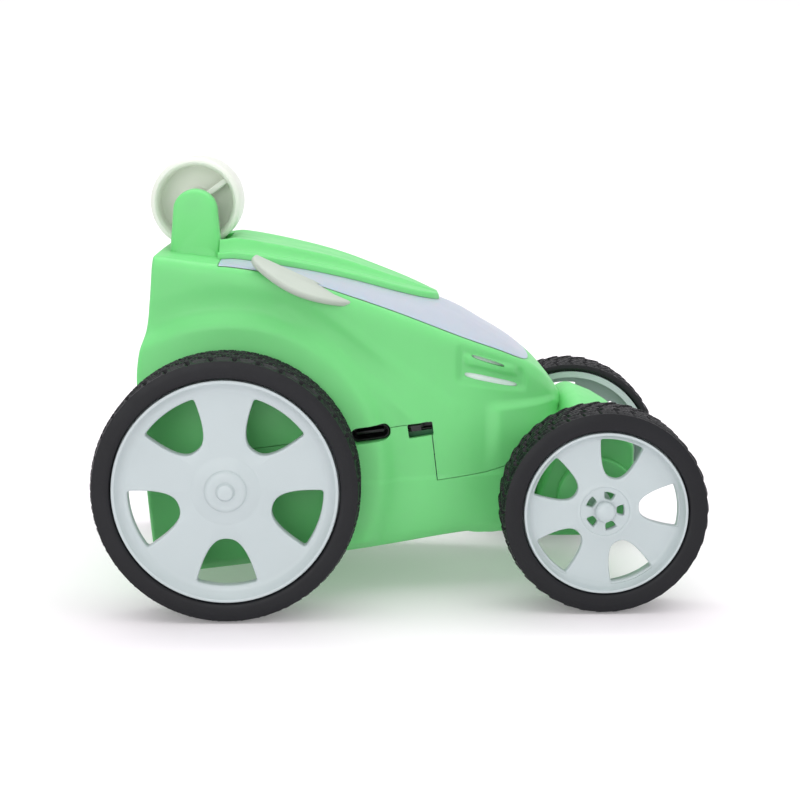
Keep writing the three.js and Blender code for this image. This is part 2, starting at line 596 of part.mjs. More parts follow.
function usbPiece() {
  const { width, height, depth, face } = USB;
  const outline = (w, h, r) => {
    const shape = new THREE.Shape();
    shape.absarc(w / 2 - r, 0, r, -Math.PI / 2, Math.PI / 2);
    shape.absarc(r - w / 2, 0, r, Math.PI / 2, (3 * Math.PI) / 2);
    return shape;
  };
  const can = slab(outline(width, height, height / 2), -face, depth - face);
  const mouth = slab(outline(width - 0.7, height - 0.7, height / 2 - 0.35), -face - 1, depth - face - 1.2);
  const blade = box(-3.3, 3.3, 1 - face, depth - face - 1, -0.35, 0.35);
  return can.subtract(mouth).add(blade);
}

const KNOB_FROM = -SWITCH.travel / 2;

function switchBodyPiece() {
  const block = box(-4.3, 4.3, -26.3, -22.4, -0.6, 1.9);
  return block.subtract(box(-3.2, 3.2, -30, -23.8, -0.25, 1.55));
}

function switchSliderPiece() {
  const { knob } = SWITCH;
  const plate = box(KNOB_FROM - 1.9, KNOB_FROM + 1.9, -26, -24.1, -0.05, 1.35);
  return plate.add(box(KNOB_FROM - knob / 2, KNOB_FROM + knob / 2, -29.8, -24.5, -0.05, 1.35));
}

function ledPiece() {
  const profile = [[0, 0], [1.9, 0], [1.9, 0.8], [1.5, 0.8], [1.5, 3.4], [1, 4.6], [0, 5]];
  return solid(geometryOf(turned(profile, 12)).toNonIndexed().rotateX(Math.PI / 2));
}

function screwPiece() {
  const { head, headHeight, shank, length } = SCREW;
  const profile = [[0, 0], [head, 0], [head, headHeight], [shank, headHeight], [shank, length - 1], [0, length]];
  const screw = solid(geometryOf(turned(profile, 8)).toNonIndexed().rotateX(Math.PI / 2));
  const slots = [box(-1.6, 1.6, -0.3, 0.3, -1, 0.6), box(-0.3, 0.3, -1.6, 1.6, -1, 0.6)];
  return cut(screw, ...slots);
}

// ---------------------------------------------------------------- assembly

const car = new THREE.Group();

function place(name, made, material, [x, y, z] = [0, 0, 0], parent = car) {
  const mesh = new THREE.Mesh(geometryOf(made), material);
  mesh.name = name;
  mesh.position.set(x, y, z);
  parent.add(mesh);
  return mesh;
}

place("chassis", chassisPiece(), GREEN);
place("upper_shell", upperShellPiece(), GREEN);
place("light_cover", lightCoverPiece(), MILKY);
place("roof_panel", roofPanelPiece(), GREEN);
place("front_axle_housing", housingPiece(), GREEN);
place("tail_roller", rollerPiece(), MILKY, [ROLLER.x, 0, ROLLER.z]);
place("tail_roller_pin", rod(1.2, -POST.outer + 0.6, POST.outer - 0.6, 0, 0, 12), STEEL, [ROLLER.x, 0, ROLLER.z]);

for (const [hand, side] of [["right", -1], ["left", 1]]) {
  place(`fin_${hand}`, finPiece(side), MILKY);
  place(`vent_diffuser_${hand}`, diffuserPiece(side), MILKY);

  const rearAt = [...AXLE_AT.slice(0, 1), side * REAR.inner, AXLE_AT[1]];
  place(`rear_rim_${hand}`, rearRimPiece(side), MILKY, rearAt);
  place(`rear_tyre_${hand}`, tyrePiece(REAR, side), RUBBER, rearAt);
  place(`rear_axle_${hand}`, rod(AXLE.radius, side * 15, side * 46, ...AXLE_AT, 14), STEEL);
  place(`drive_gear_${hand}`, driveGearPiece(side), GEAR_WHITE, [AXLE_AT[0], 0, AXLE_AT[1]]);

  const frontAt = [WHEELBASE, side * FRONT.inner, FRONT.radius];
  place(`front_rim_${hand}`, frontRimPiece(side, side > 0 ? FAR_FRONT_TURN : 0), MILKY, frontAt);
  place(`front_tyre_${hand}`, tyrePiece(FRONT, side), RUBBER, frontAt);
  place(`front_wheel_pin_${hand}`, frontPinPiece(side), MILKY, [WHEELBASE, 0, FRONT.radius]);

  place(`reduction_gear_${hand}`, reductionGearPiece(side), GEAR_WHITE, [MIDDLE_AT[0], 0, MIDDLE_AT[1]]);
  place(`reduction_shaft_${hand}`, rod(AXLE.radius, side * 17.4, side * 27.6, ...MIDDLE_AT, 14), STEEL);
  place(`motor_pinion_${hand}`, motorPinionPiece(side), BRASS, [MOTOR_AT[0], 0, MOTOR_AT[1]]);
  place(`motor_shaft_${hand}`, rod(MOTOR.shaft, side * 14.2, side * 22.4, ...MOTOR_AT, 12), STEEL);
  place(`motor_${hand}`, motorPiece(side), STEEL);
  place(`gear_frame_${hand}`, gearFramePiece(side), BLACK);
}

place("battery", rod(BATTERY.radius, -BATTERY.half, BATTERY.half, BATTERY.x, batteryZ(), 24), CELL);

const electronics = new THREE.Group();
electronics.position.set(USB.x, 0, USB.z);
electronics.rotation.y = -rad(TILT);
car.add(electronics);
const switchFromPort = new THREE.Vector2(SWITCH.x - USB.x, SWITCH.z - USB.z).rotateAround(new THREE.Vector2(), -rad(TILT));
const switchAt = [switchFromPort.x, 0, switchFromPort.y];
place("circuit_board", boardPiece(), BOARD, [0, 0, 0], electronics);
place("usb_c_port", usbPiece(), STEEL, [0, 0, 0], electronics);
place("power_switch_body", switchBodyPiece(), BLACK, switchAt, electronics);
place("power_switch_slider", switchSliderPiece(), BLACK, switchAt, electronics);
place("led_right", ledPiece(), MILKY, [12, -8, BOARD_SPAN.top + 0.1], electronics);
place("led_left", ledPiece(), MILKY, [12, 8, BOARD_SPAN.top + 0.1], electronics);

CASE_SCREWS.forEach(([x, y], i) => place(`case_screw_${i + 1}`, screwPiece(), STEEL, [x, y, bottomZ(x) + 0.8]));
HOUSING_SCREWS.forEach(([x, y], i) => place(`housing_screw_${i + 1}`, screwPiece(), STEEL, [x, y, TONGUE.bottom - 0.6]));

// The footprint's middle is the origin.
const REAR_END = -REAR.radius;
const FRONT_END = WHEELBASE + FRONT.radius;
car.position.x = -(REAR_END + FRONT_END) / 2;

const model = new THREE.Group();
model.add(car);

export default model;
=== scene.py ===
"""Looks for a small tumbling stunt car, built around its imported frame.

Shapes are worked out in millimetres in the car's own frame, with X = 0 at the rear axle, Y = 0 in the middle
and Z = 0 on the ground, and are moved into the frame's metres when each mesh is made.
"""
import math

import bmesh
import bpy
import numpy as np
from mathutils import Matrix, Vector


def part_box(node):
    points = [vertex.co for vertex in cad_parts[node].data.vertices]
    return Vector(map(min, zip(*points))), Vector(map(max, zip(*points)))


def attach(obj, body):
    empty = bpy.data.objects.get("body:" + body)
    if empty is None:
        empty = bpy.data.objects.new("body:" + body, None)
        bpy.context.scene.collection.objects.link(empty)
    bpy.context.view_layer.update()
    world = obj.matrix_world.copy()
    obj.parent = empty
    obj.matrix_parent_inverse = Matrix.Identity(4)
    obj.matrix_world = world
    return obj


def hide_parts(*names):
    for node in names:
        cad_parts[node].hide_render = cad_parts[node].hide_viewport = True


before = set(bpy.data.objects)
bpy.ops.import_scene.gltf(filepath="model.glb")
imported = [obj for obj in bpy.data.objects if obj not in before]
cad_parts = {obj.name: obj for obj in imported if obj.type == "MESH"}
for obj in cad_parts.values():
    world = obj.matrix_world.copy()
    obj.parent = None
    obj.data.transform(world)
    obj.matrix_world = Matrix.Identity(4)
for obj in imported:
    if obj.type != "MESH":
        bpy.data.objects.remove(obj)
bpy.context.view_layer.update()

# ---- sizes, from the frame


def middle(node):
    low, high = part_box(node)
    return (low + high) / 2 * 1000


def extent(node):
    low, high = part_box(node)
    return (high - low) * 1000


AXLE_X = middle("rear_tyre_right").x
WHEELBASE = middle("front_tyre_right").x - AXLE_X
REAR_R = extent("rear_tyre_right").z / 2
FRONT_R = extent("front_tyre_right").z / 2
REAR_W = extent("rear_tyre_right").y
FRONT_W = extent("front_tyre_right").y
REAR_Y = abs(middle("rear_tyre_right").y) - REAR_W / 2
FRONT_Y = abs(middle("front_tyre_right").y) - FRONT_W / 2
ROLLER = middle("tail_roller") - Vector((AXLE_X, 0, 0))
ROLLER_R = extent("tail_roller").z / 2
ROLLER_HALF = extent("tail_roller").y / 2
WALL = 1.6
GAP = 0.3
TILT = math.radians(7.5)

# ---- small helpers


def smooth(table):
    """A smooth curve through (x, y) pairs, as a function of an array of x."""
    xs, ys = (np.array(v, float) for v in zip(*table))
    slopes = np.empty_like(ys)
    slopes[1:-1] = (ys[2:] - ys[:-2]) / (xs[2:] - xs[:-2])
    slopes[0] = (ys[1] - ys[0]) / (xs[1] - xs[0])
    slopes[-1] = (ys[-1] - ys[-2]) / (xs[-1] - xs[-2])

    def curve(x):
        x = np.clip(np.asarray(x, float), xs[0], xs[-1])
        i = np.clip(np.searchsorted(xs, x, side="right") - 1, 0, len(xs) - 2)
        span = xs[i + 1] - xs[i]
        t = (x - xs[i]) / span
        rise = (2 * t**3 - 3 * t**2 + 1) * ys[i] + (3 * t**2 - 2 * t**3) * ys[i + 1]
        return rise + (t**3 - 2 * t**2 + t) * span * slopes[i] + (t**3 - t**2) * span * slopes[i + 1]

    return curve


def ramp(low, high, value):
    """0 below low, 1 above high and smooth between; low may be the larger."""
    t = np.clip((np.asarray(value, float) - low) / (high - low), 0, 1)
    return t * t * (3 - 2 * t)


def make_object(name, points, faces, angle=35.0):
    """A mesh object from points in millimetres in the car's frame."""
    mesh = bpy.data.meshes.new(name)
    points = np.asarray(points, float)
    placed = points * 0.001 + np.array([AXLE_X * 0.001, 0, 0])
    mesh.from_pydata(placed.tolist(), [], [list(f) for f in faces])
    mesh.validate()
    obj = bpy.data.objects.new(name, mesh)
    bpy.context.scene.collection.objects.link(obj)
    tidy_normals(obj)
    shade(obj, angle)
    return obj


def tidy_normals(obj):
    bm = bmesh.new()
    bm.from_mesh(obj.data)
    bmesh.ops.recalc_face_normals(bm, faces=bm.faces)
    if bm.calc_volume(signed=True) < 0:
        bmesh.ops.reverse_faces(bm, faces=bm.faces)
    bm.to_mesh(obj.data)
    bm.free()


def shade(obj, angle=35.0):
    obj.data.shade_smooth()
    obj.data.set_sharp_from_angle(angle=math.radians(angle))


def apply_modifiers(obj):
    graph = bpy.context.evaluated_depsgraph_get()
    mesh = bpy.data.meshes.new_from_object(obj.evaluated_get(graph))
    obj.modifiers.clear()
    obj.data = mesh


def boolean(obj, tool, operation):
    """Joins, cuts or intersects obj with tool."""
    modifier = obj.modifiers.new("cut", "BOOLEAN")
    modifier.operation = operation
    modifier.solver = "MANIFOLD"
    modifier.object = tool
    apply_modifiers(obj)
    bpy.data.objects.remove(tool)
    return obj


def copy_of(obj, name):
    twin = obj.copy()
    twin.data = obj.data.copy()
    twin.name = name
    bpy.context.scene.collection.objects.link(twin)
    return twin


def skin(name, rings, angle=35.0):
    """Rings of equal numbers of points, skinned, with each end closed by one flat face."""
    rings = [np.asarray(r, float) for r in rings]
    count = len(rings[0])
    points = np.concatenate(rings)
    faces = []
    for i in range(len(rings) - 1):
        a = i * count
        for j in range(count):
            k = (j + 1) % count
            faces.append((a + j, a + k, a + count + k, a + count + j))
    faces.append(tuple(range(count))[::-1])
    faces.append(tuple(range((len(rings) - 1) * count, len(rings) * count)))
    return make_object(name, points, faces, angle)


def lathe(name, profile, sides, centre, angle=35.0):
    """A closed profile of (radius, y) turned about the Y axis through centre."""
    profile = list(profile)
    rings = []
    for step in range(sides):
        turn = 2 * math.pi * step / sides
        rings.append([(r * math.cos(turn), y, r * math.sin(turn)) for r, y in profile])
    points = np.array(rings).reshape(-1, 3) + np.array(centre)
    count = len(profile)
    faces = []
    for step in range(sides):
        a = step * count
        b = ((step + 1) % sides) * count
        for j in range(count):
            k = (j + 1) % count
            faces.append((a + j, a + k, b + k, b + j))
    obj = make_object(name, points, faces, angle)
    weld(obj, 1e-6)
    shade(obj, angle)
    return obj


def weld(obj, distance):
    bm = bmesh.new()
    bm.from_mesh(obj.data)
    bmesh.ops.remove_doubles(bm, verts=bm.verts, dist=distance)
    bmesh.ops.dissolve_degenerate(bm, edges=bm.edges, dist=distance)
    bmesh.ops.recalc_face_normals(bm, faces=bm.faces)
    if bm.calc_volume(signed=True) < 0:
        bmesh.ops.reverse_faces(bm, faces=bm.faces)
    bm.to_mesh(obj.data)
    bm.free()


def prism(name, outline, y0, y1):
    """An outline of (x, z) points made thick along Y, with flat ends."""
    count = len(outline)
    points = [(x, y0, z) for x, z in outline] + [(x, y1, z) for x, z in outline]
    faces = [tuple(range(count)), tuple(range(2 * count - 1, count - 1, -1))]
    for j in range(count):
        k = (j + 1) % count
        faces.append((j, k, count + k, count + j))
    return make_object(name, points, faces)


def rod(name, radius, y0, y1, x, z, sides=48):
    turns = [2 * math.pi * i / sides for i in range(sides)]
    return prism(name, [(x + radius * math.cos(t), z + radius * math.sin(t)) for t in turns], y0, y1)


def plate(name, outlines, y0, y1, rounding, place=None, segments=3):
    """A flat plate in X and Z, with holes, whose edges are rounded; place maps its points at the end."""
    curve = bpy.data.curves.new(name, "CURVE")
    curve.dimensions = "2D"
    curve.fill_mode = "BOTH"
    curve.extrude = (abs(y1 - y0) / 2 - rounding) * 0.001
    curve.bevel_depth = rounding * 0.001
    curve.bevel_resolution = segments - 1
    curve.offset = -rounding * 0.001
    for outline in outlines:
        spline = curve.splines.new("POLY")
        spline.points.add(len(outline) - 1)
        for point, (x, z) in zip(spline.points, outline):
            point.co = (x * 0.001, z * 0.001, 0, 1)
        spline.use_cyclic_u = True
    temporary = bpy.data.objects.new(name + "_curve", curve)
    bpy.context.scene.collection.objects.link(temporary)
    graph = bpy.context.evaluated_depsgraph_get()
    mesh = bpy.data.meshes.new_from_object(temporary.evaluated_get(graph))
    bpy.data.objects.remove(temporary)
    flat = np.array([v.co for v in mesh.vertices]) * 1000
    points = np.stack([flat[:, 0], flat[:, 2] + (y0 + y1) / 2, flat[:, 1]], 1)
    if place is not None:
        points = place(points)
    obj = make_object(name, points, [tuple(p.vertices) for p in mesh.polygons])
    weld(obj, 2e-6)
    shade(obj)
    return obj


def finish_piece(obj, body, slot, material, *nodes, angle=35.0):
    """Puts the material on a piece and hands it to the frame."""
    obj.data.materials.clear()
    obj.data.materials.append(material)
    shade(obj, angle)
    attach(obj, body)
    if nodes:
        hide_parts(*nodes)
    return obj


# ---- materials


def base_material(name, color, roughness, **sockets):
    material = bpy.data.materials.new(name)
    material.use_nodes = True
    shader = material.node_tree.nodes["Principled BSDF"]
    shader.inputs["Base Color"].default_value = (*color, 1)
    shader.inputs["Roughness"].default_value = roughness
    for key, value in sockets.items():
        shader.inputs[key.replace("_", " ")].default_value = value
    return material, material.node_tree, shader


def add_noise(tree, scale, detail=3.0, roughness=0.55):
    coordinates = tree.nodes.new("ShaderNodeTexCoord")
    texture = tree.nodes.new("ShaderNodeTexNoise")
    texture.inputs["Scale"].default_value = scale
    texture.inputs["Detail"].default_value = detail
    texture.inputs["Roughness"].default_value = roughness
    tree.links.new(coordinates.outputs["Object"], texture.inputs["Vector"])
    return texture.outputs["Fac"]


def vary_color(tree, shader, color, spread, scale):
    """Lets the base colour wander a little around its mean."""
    fac = add_noise(tree, scale, 2.0)
    blend = tree.nodes.new("ShaderNodeValToRGB")
    low, high = blend.color_ramp.elements
    low.position = 0.3
    high.position = 0.7
    low.color = (*[c * (1 - spread) for c in color], 1)
    high.color = (*[min(c * (1 + spread), 1) for c in color], 1)
    tree.links.new(fac, blend.inputs["Fac"])
    tree.links.new(blend.outputs["Color"], shader.inputs["Base Color"])


def vary_roughness(tree, shader, low, high, scale):
    fac = add_noise(tree, scale, 4.0)
    remap = tree.nodes.new("ShaderNodeMapRange")
    remap.inputs["From Min"].default_value = 0.3
    remap.inputs["From Max"].default_value = 0.7
    remap.inputs["To Min"].default_value = low
    remap.inputs["To Max"].default_value = high
    tree.links.new(fac, remap.inputs["Value"])
    tree.links.new(remap.outputs["Result"], shader.inputs["Roughness"])


def grain(tree, shader, layers):
    """Bump from noise layers of (scale, height in metres)."""
    normal = None
    for scale, height in layers:
        bump = tree.nodes.new("ShaderNodeBump")
        bump.inputs["Strength"].default_value = 0.6
        bump.inputs["Distance"].default_value = height
        tree.links.new(add_noise(tree, scale, 3.0), bump.inputs["Height"])
        if normal is not None:
            tree.links.new(normal, bump.inputs["Normal"])
        normal = bump.outputs["Normal"]
    tree.links.new(normal, shader.inputs["Normal"])


def moulded(name, color, roughness, spread=0.02, texture=0.00002, **sockets):
    """Injection-moulded plastic: even colour and a fine satin grain."""
    material, tree, shader = base_material(name, color, roughness, **sockets)
    vary_color(tree, shader, color, spread, 60)
    vary_roughness(tree, shader, roughness - 0.05, roughness + 0.06, 220)
    grain(tree, shader, [(2600, texture)])
    return material


def set_scattering(material, radius):
    material.node_tree.nodes["Principled BSDF"].inputs["Subsurface Radius"].default_value = radius


GREEN = moulded("green_plastic", (0.16, 0.62, 0.20), 0.48, Subsurface_Weight=0.2, Subsurface_Scale=0.004)
set_scattering(GREEN, (0.3, 1.0, 0.35))
MILKY = moulded("milky_plastic", (0.47, 0.53, 0.54), 0.34, Subsurface_Weight=0.2, Subsurface_Scale=0.003)
set_scattering(MILKY, (1.0, 1.0, 1.0))
COVER = moulded("cover_plastic", (0.43, 0.475, 0.55), 0.36, Subsurface_Weight=0.3, Subsurface_Scale=0.006)
RUBBER = moulded("tyre_rubber", (0.0065, 0.007, 0.009), 0.45, 0.12, 0.00003, Specular_IOR_Level=0.27)
BLACK = moulded("black_plastic", (0.012, 0.012, 0.013), 0.4, 0.1)
GEARS = moulded("gear_plastic", (0.78, 0.76, 0.68), 0.42)
BOARD = moulded("board_laminate", (0.02, 0.17, 0.06), 0.35, 0.15, 0.00003)
SLEEVE = moulded("battery_sleeve", (0.04, 0.13, 0.42), 0.3, 0.05)


def metal(name, color, roughness, scale=900):
    material, tree, shader = base_material(name, color, roughness, Metallic=1.0)
    vary_roughness(tree, shader, roughness - 0.06, roughness + 0.1, scale)
    grain(tree, shader, [(scale * 2, 0.000008)])
    return material


STEEL = metal("steel", (0.6, 0.61, 0.63), 0.28)
DARK_STEEL = metal("screw_steel", (0.34, 0.34, 0.36), 0.35)
BRASS = metal("brass", (0.78, 0.6, 0.28), 0.3)

# ---- body surface

bottom_z = smooth([(-20, 4), (0, 6.6), (30, 10.5), (56, 13.9), (64, 13.2), (72, 14.5), (77, 24), (81, 37)])
belt_z = smooth([(-20, 83), (-8, 81.8), (0, 80.9), (8, 79.6), (18, 77.3), (27.5, 74.3), (40, 69.7),
                 (55, 63.6),
                 (67, 58.9), (74, 54.5), (78, 50.4), (81.2, 45.6)])
cover_line = smooth([(-4, 80.7), (0, 80.5), (8, 79.3), (18, 77), (27.5, 73.9), (40, 69.4), (55, 63.3),
                     (64.5, 59.6),
                     (72.1, 56.3), (76, 55.7)])
crown_z = smooth([(-20, 83.2), (-8, 82.3), (-3, 81.7), (1, 82.3), (16, 80), (28, 77.3), (38, 74.1),
                  (50, 70), (56, 67.5),
                  (61, 64.5), (69, 59.4), (75, 54.2), (78, 50.8), (80, 48), (81.2, 46)])
half_width = smooth([(-20, 28.5), (-10, 30.6), (0, 31.3), (12, 31.6), (25, 31.4), (40, 30.4), (50, 28.8),
                     (58, 27),
                     (66, 24), (72, 20.5), (76, 16.5), (79, 11.5), (81.2, 5)])
side_bulge = smooth([(0, -3.2), (0.08, -1.9), (0.25, -1), (0.45, -0.2), (0.6, -0.2), (0.78, -1.4),
                     (0.9, -1.2),
                     (1, -0.6)])
rear_lean = smooth([(4, 1), (13, 0.6), (25, -0.3), (53, -2.1), (60, -1.5), (65, 0), (72, 1), (82, 1.9)])
BODY_REAR = -20.0
BODY_FRONT = 81.2
CORNER = 1.0


def line_distance(x, z, a, b):
    """Distance from (x, z) to the stretch from a to b."""
    a, b = np.array(a, float), np.array(b, float)
    d = b - a
    t = np.clip(((x - a[0]) * d[0] + (z - a[1]) * d[1]) / (d @ d), 0, 1)
    return np.hypot(x - a[0] - t * d[0], z - a[1] - t * d[1])


def flank_detail(x, z):
    """How far the flank stands out of its plain surface at (x, z)."""
    rear = np.hypot(x, z - REAR_R)
    swell = 2.4 * ramp(39.8, 35.4, rear) - 0.45 * ramp(46, 41.5, rear) * ramp(37.5, 41, rear)
    swell = swell + 1.7 * ramp(47.4, 45.4, z) * ramp(60.5, 65, x) * ramp(26, 42, z)
    for start, end, size in (((13, 70), (45, 43), 0.35), ((21, 71), (53, 46), 0.2)):
        swell = swell + size * ramp(2.2, 0, line_distance(x, z, start, end))
    step = ramp(29.7, 29.1, z - (x - 40) * 0.02) * ramp(28, 33, x)
    swell = swell + 0.35 * step
    return swell - VENT_DEPTH * vent_pocket(x, z)


VENT_DEPTH = 1.0


def vent_pocket(x, z):
    """1 in the recess around the two light slots and 0 outside it and on the rib between them."""
    slope = math.tan(math.radians(-15.5))
    along = x - 62.6
    level = z - (55.7 + slope * along)
    half = 4.3 - 0.1 * along
    inside = ramp(2.2, 0, np.abs(along) - 7.2) * ramp(half + 1.2, half - 0.8, np.abs(level))
    rib = ramp(1.9, 0.5, np.abs(level - 0.4)) * ramp(7.2, 5.2, np.abs(along + 0.3))
    return inside * (1 - rib)


def rounded(points, times=3):
    """Cuts the corners of an open line, keeping its ends."""
    points = np.asarray(points, float)
    for _ in range(times):
        a, b = points[:-1], points[1:]
        cut = np.stack([0.75 * a + 0.25 * b, 0.25 * a + 0.75 * b], 1).reshape(-1, 2)
        points = np.concatenate([points[:1], cut, points[-1:]])
    return points


def evenly(points, count):
    steps = np.hypot(*np.diff(points, axis=0).T)
    along = np.concatenate([[0], np.cumsum(steps)])
    wanted = np.linspace(0, along[-1], count)
    return np.stack([np.interp(wanted, along, points[:, k]) for k in (0, 1)], 1)


def body_section(x, inset, count, detail=True):
    """One section of the body at x as a closed ring, drawn in by inset."""
    width = float(half_width(x)) - inset
    belt = float(belt_z(x)) - inset
    crown = max(float(crown_z(x)) - inset, belt + 0.02)
    bottom = float(bottom_z(x)) + inset
    shoulder = max(width - 2.4, 0.8)
    t = np.linspace(0, 1, 16)
    side_z = (bottom + 2.8) * (1 - t) + (belt - 2.6) * t
    side_y = np.maximum(width + side_bulge(t), 1)
    half = [(0, bottom), (max(side_y[0] * 0.5, 0.3), bottom), (max(side_y[0] - 2.6, 0.5), bottom)]
    half += list(zip(side_y, side_z))
    half += [(max(width - 1.3, 0.9), belt - 0.8)]
    for part in (1, 0.9, 0.8, 0.65, 0.5, 0.3, 0.12, 0):
        half.append((shoulder * part, crown - (crown - belt) * part**2.2))
    half = evenly(rounded(half), count)
    if detail:
        side = ramp(bottom + 0.5, bottom + 4, half[:, 1]) * ramp(belt - 1.0, belt - 4, half[:, 1])
        half[:, 0] += flank_detail(x, half[:, 1]) * side * ramp(1, 8, half[:, 0])
    lean = np.clip((-8 - x) / 12, 0, 1)
    other = half[1:-1][::-1] * np.array([-1, 1])
    ring = np.concatenate([half, other])
    return np.stack([x + rear_lean(ring[:, 1]) * lean, ring[:, 0], ring[:, 1]], 1)


def body_solid(name, inset, count, stations, detail=True):
    """The body's solid: rounded at the rear and closed by rings that shrink to the middle."""
    rings = []
    first = BODY_REAR + inset
    for part in np.linspace(0.08, 1, 10):
        ring = body_section(first, inset + CORNER, count, detail)
        middle_z = ring[:, 2].mean()
        small = ring.copy()
        small[:, 1] = ring[:, 1] * part
        small[:, 2] = middle_z + (ring[:, 2] - middle_z) * part
        small[:, 0] = first + rear_lean(small[:, 2])
        rings.append(small)
    for turn in np.linspace(0, math.pi / 2, 9)[1:]:
        x = first + CORNER * (1 - math.cos(turn))
        rings.append(body_section(x, inset + CORNER * (1 - math.sin(turn)), count, detail))
    rings += [body_section(x, inset, count, detail) for x in stations if x > first + CORNER + 0.5]
    nose = rings[-1]
    centre = nose.mean(0)
    for part in (0.75, 0.45, 0.15):
        ring = centre + (nose - centre) * part
        ring[:, 0] += 0.35 * (1 - part**2)
        rings.append(ring)
    return skin(name, rings, 40)


STATIONS = np.concatenate([np.arange(-17, 53, 1.2), np.arange(53.2, 73, 0.4),
                           np.linspace(73, BODY_FRONT, 18)])
outside = body_solid("outside", 0, 220, STATIONS)
inside = body_solid("inside", WALL, 40, np.linspace(-14, BODY_FRONT - WALL, 30), detail=False)
boolean(outside, inside, "DIFFERENCE")

TAB_FRONT = 48.6


def seam(shift):
    return [(-30, 33.2 + shift), (TAB_FRONT - 1.9 + shift, 43.3 + shift),
            (TAB_FRONT - 0.9 + shift, 42.6 + shift),
            (TAB_FRONT + 0.7 + shift, 28.9 + shift), (61, 30.2 + shift), (72, 33 + shift), (95, 36 + shift)]


def over_belt(lift, start):
    xs = np.concatenate([[start], np.linspace(start + 0.5, 76, 60)])
    line = [(x, float(cover_line(x)) + lift) for x in xs]
    return line + [(95, 55.7 + lift), (95, 120), (start, 120)]


DECK_FRONT = -2.4
chassis = copy_of(outside, "chassis_shell")
boolean(chassis, prism("low", seam(-0.09) + [(95, -10), (-30, -10)], -60, 60), "INTERSECT")
cover = copy_of(outside, "light_cover_shell")
boolean(cover, prism("top", over_belt(0.09, DECK_FRONT + 0.09), -60, 60), "INTERSECT")
upper = outside
upper.name = "upper_shell_skin"
boolean(upper, prism("high", seam(0.09) + [(95, 120), (-30, 120)], -60, 60), "INTERSECT")
boolean(upper, prism("belt", over_belt(-0.09, DECK_FRONT - 0.09), -60, 60), "DIFFERENCE")

# ---- more shape helpers


def upright(name, profile, x, y, z, sides=48, angle=35.0):
    """A closed profile of (radius, height) turned about an upright axis through (x, y, z)."""
    obj = lathe(name, profile, sides, (0, 0, 0), angle)
    low = AXLE_X * 0.001
    for vertex in obj.data.vertices:
        px, py, pz = vertex.co
        px -= low
        vertex.co = (px + x * 0.001 + low, -pz + y * 0.001, py + z * 0.001)
    tidy_normals(obj)
    return obj


def rounded_box(name, x0, x1, y0, y1, z0, z1, radius, segments=3):
    corners = [(x, y, z) for x in (x0, x1) for y in (y0, y1) for z in (z0, z1)]
    faces = [(0, 1, 3, 2), (4, 6, 7, 5), (0, 4, 5, 1), (2, 3, 7, 6), (0, 2, 6, 4), (1, 5, 7, 3)]
    obj = make_object(name, corners, faces)
    bevel = obj.modifiers.new("bevel", "BEVEL")
    bevel.width = radius * 0.001
    bevel.segments = segments
    apply_modifiers(obj)
    shade(obj)
    return obj


def arc(cx, cz, radius, start, end, steps):
    """Points on a circle's arc in X and Z, with the angles in degrees."""
    turns = np.radians(np.linspace(start, end, steps))
    return [(cx + radius * math.cos(t), cz + radius * math.sin(t)) for t in turns]


def chaikin(outline, times=2):
    """Rounds the corners of a closed outline."""
    points = np.asarray(outline, float)
    for _ in range(times):
        after = np.roll(points, -1, axis=0)
        points = np.stack([0.8 * points + 0.2 * after, 0.2 * points + 0.8 * after], 1).reshape(-1, 2)
    return [tuple(p) for p in points]


# ---- openings in the body

USB_AT = (33.2, 41.0)
SWITCH_AT = (45.2, 41.4)


def tilted(centre, width, height, corner, steps=8):
    """A rounded rectangle about centre, tilted as the car's floor is."""
    w, h = width / 2 - corner, height / 2 - corner
    points = []
    for quarter, (x, z) in enumerate([(w, h), (-w, h), (-w, -h), (w, -h)]):
        points += arc(x, z, corner, quarter * 90, quarter * 90 + 90, steps)
    c, s = math.cos(TILT), math.sin(TILT)
    return [(centre[0] + x * c - z * s, centre[1] + x * s + z * c) for x, z in points]


def cut_openings(obj):
    boolean(obj, prism("port_hole", tilted(USB_AT, 9.7, 4.0, 1.9), -40, -24), "DIFFERENCE")
    boolean(obj, prism("switch_hole", tilted(SWITCH_AT, 6.0, 3.3, 0.35), -40, -24), "DIFFERENCE")
    boolean(obj, rod("axle_hole", 2.1, -40, 40, 0, REAR_R), "DIFFERENCE")


cut_openings(chassis)
cut_openings(upper)

# ---- chassis

CASE_SCREWS = [(-12, 18), (-12, -18), (60, 17), (60, -17)]
HOUSING_SCREWS = [(85, 9), (85, -9)]
TONGUE_BOTTOM = 13.6
TONGUE_TOP = 16.4


def build_chassis():
    tongue = rounded_box("tongue", 66, 95.5, -15, 15, TONGUE_BOTTOM, TONGUE_TOP, 0.6)
    boolean(tongue, copy_of(inside_copy, "room"), "DIFFERENCE")
    boolean(chassis, tongue, "UNION")
    for x, y in CASE_SCREWS:
        low = float(bottom_z(x))
        boolean(chassis, upright("column", [(0, 0.5), (3.9, 0.5), (3.9, 8), (0, 8)], x, y, low), "UNION")
        hole = [(0, -3), (2.7, -3), (2.7, 2.6), (1.4, 2.6), (1.4, 20), (0, 20)]
        boolean(chassis, upright("bore", hole, x, y, low),
                "DIFFERENCE")
    for x, y in HOUSING_SCREWS:
        hole = [(0, -3), (2.7, -3), (2.7, 1.2), (1.4, 1.2), (1.4, 20), (0, 20)]
        boolean(chassis, upright("bore", hole, x, y, TONGUE_BOTTOM), "DIFFERENCE")
    return chassis


inside_copy = body_solid("inside_copy", WALL * 0.5, 40, np.linspace(-14, BODY_FRONT - WALL, 30), detail=False)
build_chassis()
finish_piece(chassis, "car_body", "green_plastic", GREEN, "chassis")
bpy.data.objects.remove(inside_copy)

# ---- upper shell with the tail fork

